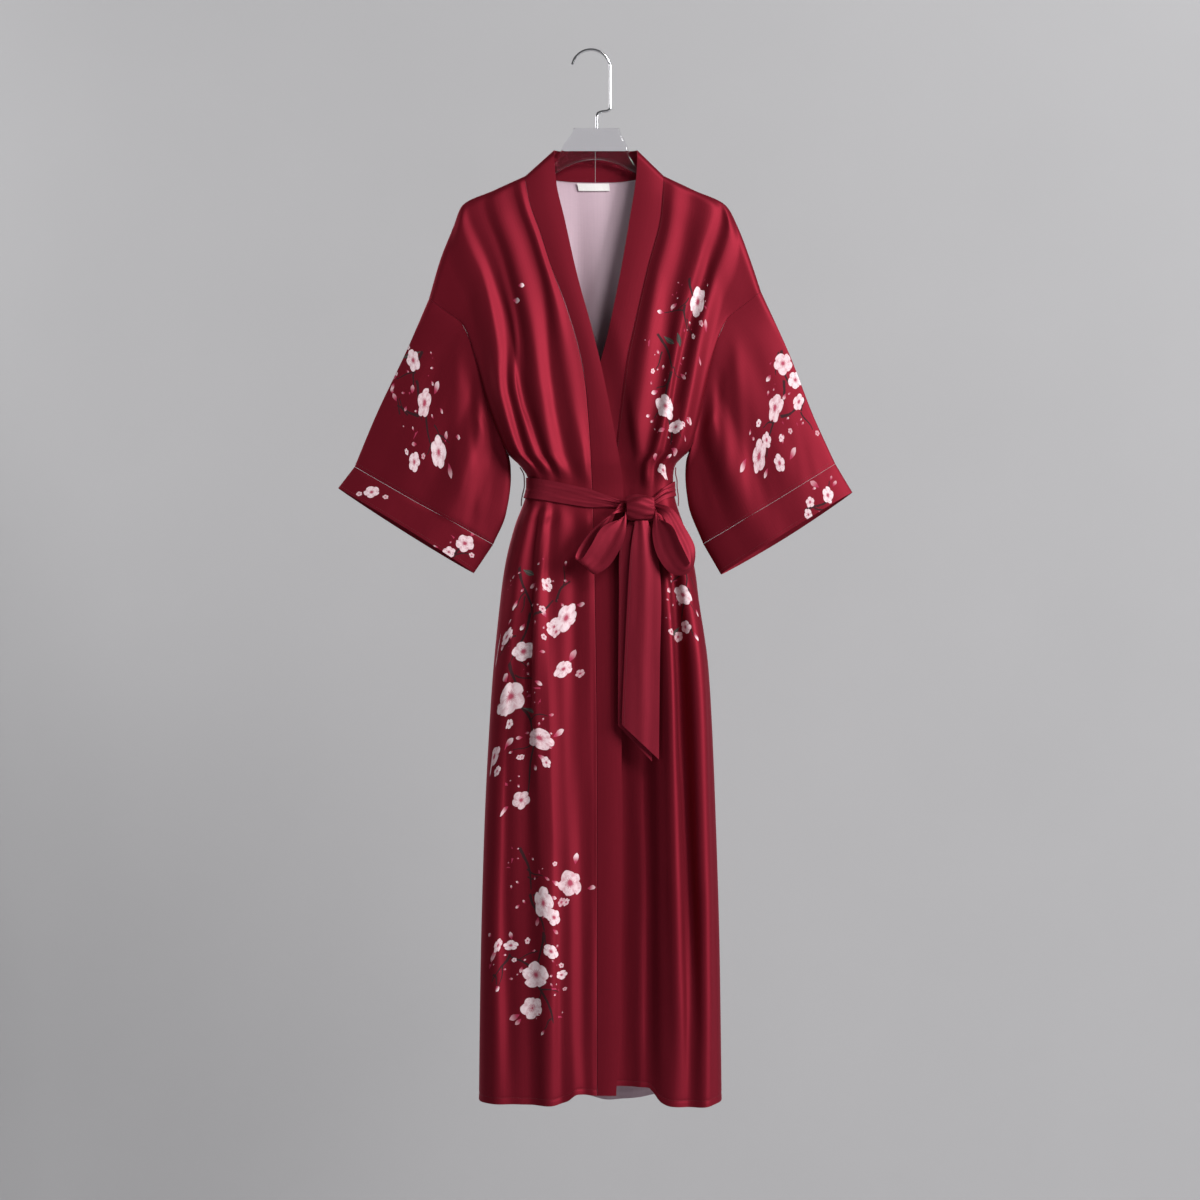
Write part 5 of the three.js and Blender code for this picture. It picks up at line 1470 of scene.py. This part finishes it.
rightTip, leftTip = armLine(rightSide, 0.64), armLine(leftSide, 0.63)
outline = [(-24, -108)]
outline += bezier((-24, -108), (-28, -122), (-39, -126), (-41, -138))
outline += bezier((-41, -138), (-46, -160), (-66, -180), armLine(rightSide, 0.92))
outline += [armLine(rightSide, share) for share in (0.89, 0.86, 0.83, 0.8, 0.76, 0.72, 0.68)]
outline += [beside(rightTip, 4, 0.6)]
bends = [beside(rightTip, x, z) for x, z in ((-3, -2), (-5, -9), (1, -14))]
outline += bezier(outline[-1], *bends, 8)
outline += [(-90, -196)]
outline += bezier((-90, -196), (-60, -183), (-34, -152), (6, -152), 20)
outline += bezier((6, -152), (46, -152), (72, -183), (100, -194), 20)
outline += [beside(leftTip, -1, -14)]
bends = [beside(leftTip, x, z) for x, z in ((5, -9), (3, -2), (-4, 0.6))]
outline += bezier(outline[-1], *bends, 8)
outline += [armLine(leftSide, share) for share in (0.68, 0.72, 0.76, 0.8, 0.83, 0.86, 0.89, 0.92)]
outline += bezier(outline[-1], (78, -180), (57, -160), (52, -138))
outline += bezier((52, -138), (50, -126), (43, -122), (39, -108))

plate = bpy.data.curves.new("hangerPlate", "CURVE")
plate.dimensions = "2D"
plate.fill_mode = "BOTH"
plate.extrude = (hanger["half"] - hanger["round"]) * mm
plate.bevel_depth = hanger["round"] * mm
plate.bevel_resolution = 4
plate.offset = -hanger["round"] * mm
edge = plate.splines.new("POLY")
edge.use_cyclic_u = True
edge.points.add(len(outline) - 1)
for point, place in zip(edge.points, outline):
    point.co = (place[0] * mm, place[1] * mm, 0, 1)
mesh = builtMesh(addObject("hangerPath", plate), "hanger_body", clearPlastic)
for vertex in mesh.vertices:
    x, y, z = vertex.co
    vertex.co = (x, -z, y)
smooth(mesh, 40)
pieces["hanger_body"] = addObject("hanger_body", mesh)

hook = {"radius": 27, "drop": 25, "start": 0.93, "wire": 2}
hookPath = []
for i in range(9):
    angle = lerp(math.pi * hook["start"], 0, i / 8)
    hookPath.append((hook["radius"] * math.cos(angle), 0, hook["radius"] * math.sin(angle) - hook["drop"]))
hookPath += [(27, 0, -50), (27, 0, -76), (24.5, 0, -83), (13, 0, -85.5), (8.5, 0, -90), (8, 0, -107.7)]
tube("hanger_hook", spline(hookPath, 160), hook["wire"], chromeWire)
print("hanger made")


# Stitches along a seam: capsules on a resampled line.
def stitchNodes():
    group = bpy.data.node_groups.new("stitchLine", "GeometryNodeTree")
    group.interface.new_socket("Line", in_out="INPUT", socket_type="NodeSocketGeometry")
    for name, value in (("Pitch", 0.003), ("Length", 0.002), ("Thread", 0.0002), ("Uneven", 0.15)):
        group.interface.new_socket(name, in_out="INPUT", socket_type="NodeSocketFloat").default_value = value
    group.interface.new_socket("Seed", in_out="INPUT", socket_type="NodeSocketInt").default_value = 4
    group.interface.new_socket("Material", in_out="INPUT", socket_type="NodeSocketMaterial")
    group.interface.new_socket("Stitches", in_out="OUTPUT", socket_type="NodeSocketGeometry")
    nodes, links = group.nodes, group.links
    start, end = nodes.new("NodeGroupInput"), nodes.new("NodeGroupOutput")
    line = nodes.new("GeometryNodeMeshToCurve")
    links.new(start.outputs["Line"], line.inputs["Mesh"])
    even = nodes.new("GeometryNodeResampleCurve")
    even.mode = "LENGTH"
    links.new(line.outputs[0], even.inputs["Curve"])
    links.new(start.outputs["Pitch"], even.inputs["Length"])
    ball = nodes.new("GeometryNodeMeshUVSphere")
    ball.inputs["Segments"].default_value = 6
    ball.inputs["Rings"].default_value = 4
    ball.inputs["Radius"].default_value = 1.0
    size = nodes.new("ShaderNodeCombineXYZ")
    half = nodes.new("ShaderNodeMath")
    half.operation = "MULTIPLY"
    half.inputs[1].default_value = 0.5
    links.new(start.outputs["Length"], half.inputs[0])
    links.new(half.outputs[0], size.inputs[0])
    links.new(start.outputs["Thread"], size.inputs[1])
    links.new(start.outputs["Thread"], size.inputs[2])
    vary = nodes.new("FunctionNodeRandomValue")
    vary.data_type = "FLOAT"
    low, high = nodes.new("ShaderNodeMath"), nodes.new("ShaderNodeMath")
    low.operation, high.operation = "SUBTRACT", "ADD"
    for node in (low, high):
        node.inputs[0].default_value = 1.0
        links.new(start.outputs["Uneven"], node.inputs[1])
    floats = [socket for socket in vary.inputs if socket.type == "VALUE"]
    links.new(low.outputs[0], floats[0])
    links.new(high.outputs[0], floats[1])
    links.new(start.outputs["Seed"], vary.inputs["Seed"])
    scaled = nodes.new("ShaderNodeVectorMath")
    scaled.operation = "SCALE"
    links.new(size.outputs[0], scaled.inputs[0])
    links.new([socket for socket in vary.outputs if socket.type == "VALUE"][0], scaled.inputs["Scale"])
    tangent = nodes.new("GeometryNodeInputTangent")
    turn = nodes.new("FunctionNodeAlignRotationToVector")
    turn.axis = "X"
    links.new(tangent.outputs[0], turn.inputs["Vector"])
    place = nodes.new("GeometryNodeInstanceOnPoints")
    links.new(even.outputs[0], place.inputs["Points"])
    links.new(ball.outputs["Mesh"], place.inputs["Instance"])
    links.new(turn.outputs[0], place.inputs["Rotation"])
    links.new(scaled.outputs[0], place.inputs["Scale"])
    real = nodes.new("GeometryNodeRealizeInstances")
    links.new(place.outputs[0], real.inputs[0])
    paint = nodes.new("GeometryNodeSetMaterial")
    links.new(real.outputs[0], paint.inputs["Geometry"])
    links.new(start.outputs["Material"], paint.inputs["Material"])
    links.new(paint.outputs[0], end.inputs[0])
    return group


stitchGroup = stitchNodes()


def sewLine(name, points):
    mesh = bpy.data.meshes.new(name + "Line")
    mesh.from_pydata((points * mm).tolist(), [(i, i + 1) for i in range(len(points) - 1)], [])
    holder = addObject(name + "Line", mesh)
    modifier = holder.modifiers.new("stitches", "NODES")
    modifier.node_group = stitchGroup
    items = stitchGroup.interface.items_tree
    sockets = {item.name: item.identifier for item in items if item.in_out == "INPUT"}
    for value in ("pitch", "length", "thread"):
        modifier[sockets[value.title()]] = stitching[value] * mm
    modifier[sockets["Material"]] = threadMaterial
    made = builtMesh(holder, name)
    made.polygons.foreach_set("use_smooth", [True] * len(made.polygons))
    piece = addObject(name, made)
    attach(piece, "root")
    return piece


for name, points in seams.items():
    if name.startswith("cuff"):
        points = np.concatenate([points, points[:1]])
    sewLine("stitches_" + name, points)
print("seams stitched")

for name, piece in pieces.items():
    first, *others = name.split("_")
    piece.name = first + "".join(word.title() for word in others)
    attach(piece, "root")
    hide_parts(name)
# Room: a pale wall a good metre behind, the floor out of sight below, soft studio lights.
def roomPlane(name, corners, colour):
    mesh = bpy.data.meshes.new(name)
    mesh.from_pydata(corners, [], [(0, 1, 2, 3)])
    material, tree, shader = startMaterial(name)
    place = tree.nodes.new("ShaderNodeTexCoord")
    grain = noiseOf(tree, place.outputs["Object"], 3.0, 5.0)
    dark, light = (rgba([v * share for v in colour]) for share in (0.97, 1.03))
    feed(tree, shader.inputs["Base Color"], blend(tree, grain, dark, light))
    shader.inputs["Roughness"].default_value = 0.85
    facing = tree.nodes.new("ShaderNodeNewGeometry")
    clear = tree.nodes.new("ShaderNodeBsdfTransparent")
    choose = tree.nodes.new("ShaderNodeMixShader")
    output = tree.nodes["Material Output"]
    tree.links.new(facing.outputs["Backfacing"], choose.inputs[0])
    tree.links.new(shader.outputs[0], choose.inputs[1])
    tree.links.new(clear.outputs[0], choose.inputs[2])
    tree.links.new(choose.outputs[0], output.inputs["Surface"])
    mesh.materials.append(material)
    plane = addObject(name, mesh)
    plane.visible_shadow = False


wallY, floorZ = room["wallY"], room["floorZ"]
wallCorners = [(-4, wallY, floorZ), (4, wallY, floorZ), (4, wallY, 2.5), (-4, wallY, 2.5)]
roomPlane("backWall", wallCorners, room["wall"])
roomPlane("floor", [(-4, -5, floorZ), (4, -5, floorZ), (4, 4, floorZ), (-4, 4, floorZ)], room["wall"])


def areaLight(name, place, target, size, power):
    light = bpy.data.lights.new(name, "AREA")
    light.shape = "RECTANGLE"
    light.size, light.size_y = size
    light.energy = power
    lamp = addObject(name, light)
    lamp.location = place
    lamp.rotation_euler = (Vector(target) - Vector(place)).to_track_quat("-Z", "Y").to_euler()


middle = (0.0126, 0, -0.7686)
areaLight("keyLight", (7.8, -4.9, 1.6), middle, (4.0, 4.0), room["key"])
areaLight("topLight", (1.6, -2.2, 1.6), (middle[0], 0, -0.5), (1.0, 1.0), room["top"])
areaLight("fillLight", (-2.6, -3.0, -0.3), middle, (1.8, 1.8), room["fill"])
areaLight("wallLight", (-2.2, 0.25, 0.2), (-0.6, 1.2, -0.9), (0.8, 0.8), room["wallLight"])
areaLight("backLight", (-1.4, 2.4, 0.6), middle, (1.2, 1.2), room["back"])
bpy.context.scene.view_settings.view_transform = "Standard"
world = bpy.data.worlds.new("studio")
world.use_nodes = True
world.node_tree.nodes["Background"].inputs[0].default_value = (0.9, 0.9, 0.92, 1)
world.node_tree.nodes["Background"].inputs[1].default_value = room["world"]
bpy.context.scene.world = world

camera = addObject("camera", bpy.data.cameras.new("camera"))
camera.data.lens = 85
camera.data.sensor_width = 36
camera.location = (middle[0], -3.967, middle[2])
camera.rotation_euler = (math.radians(90), 0, 0)
bpy.context.scene.camera = camera

print("room set")
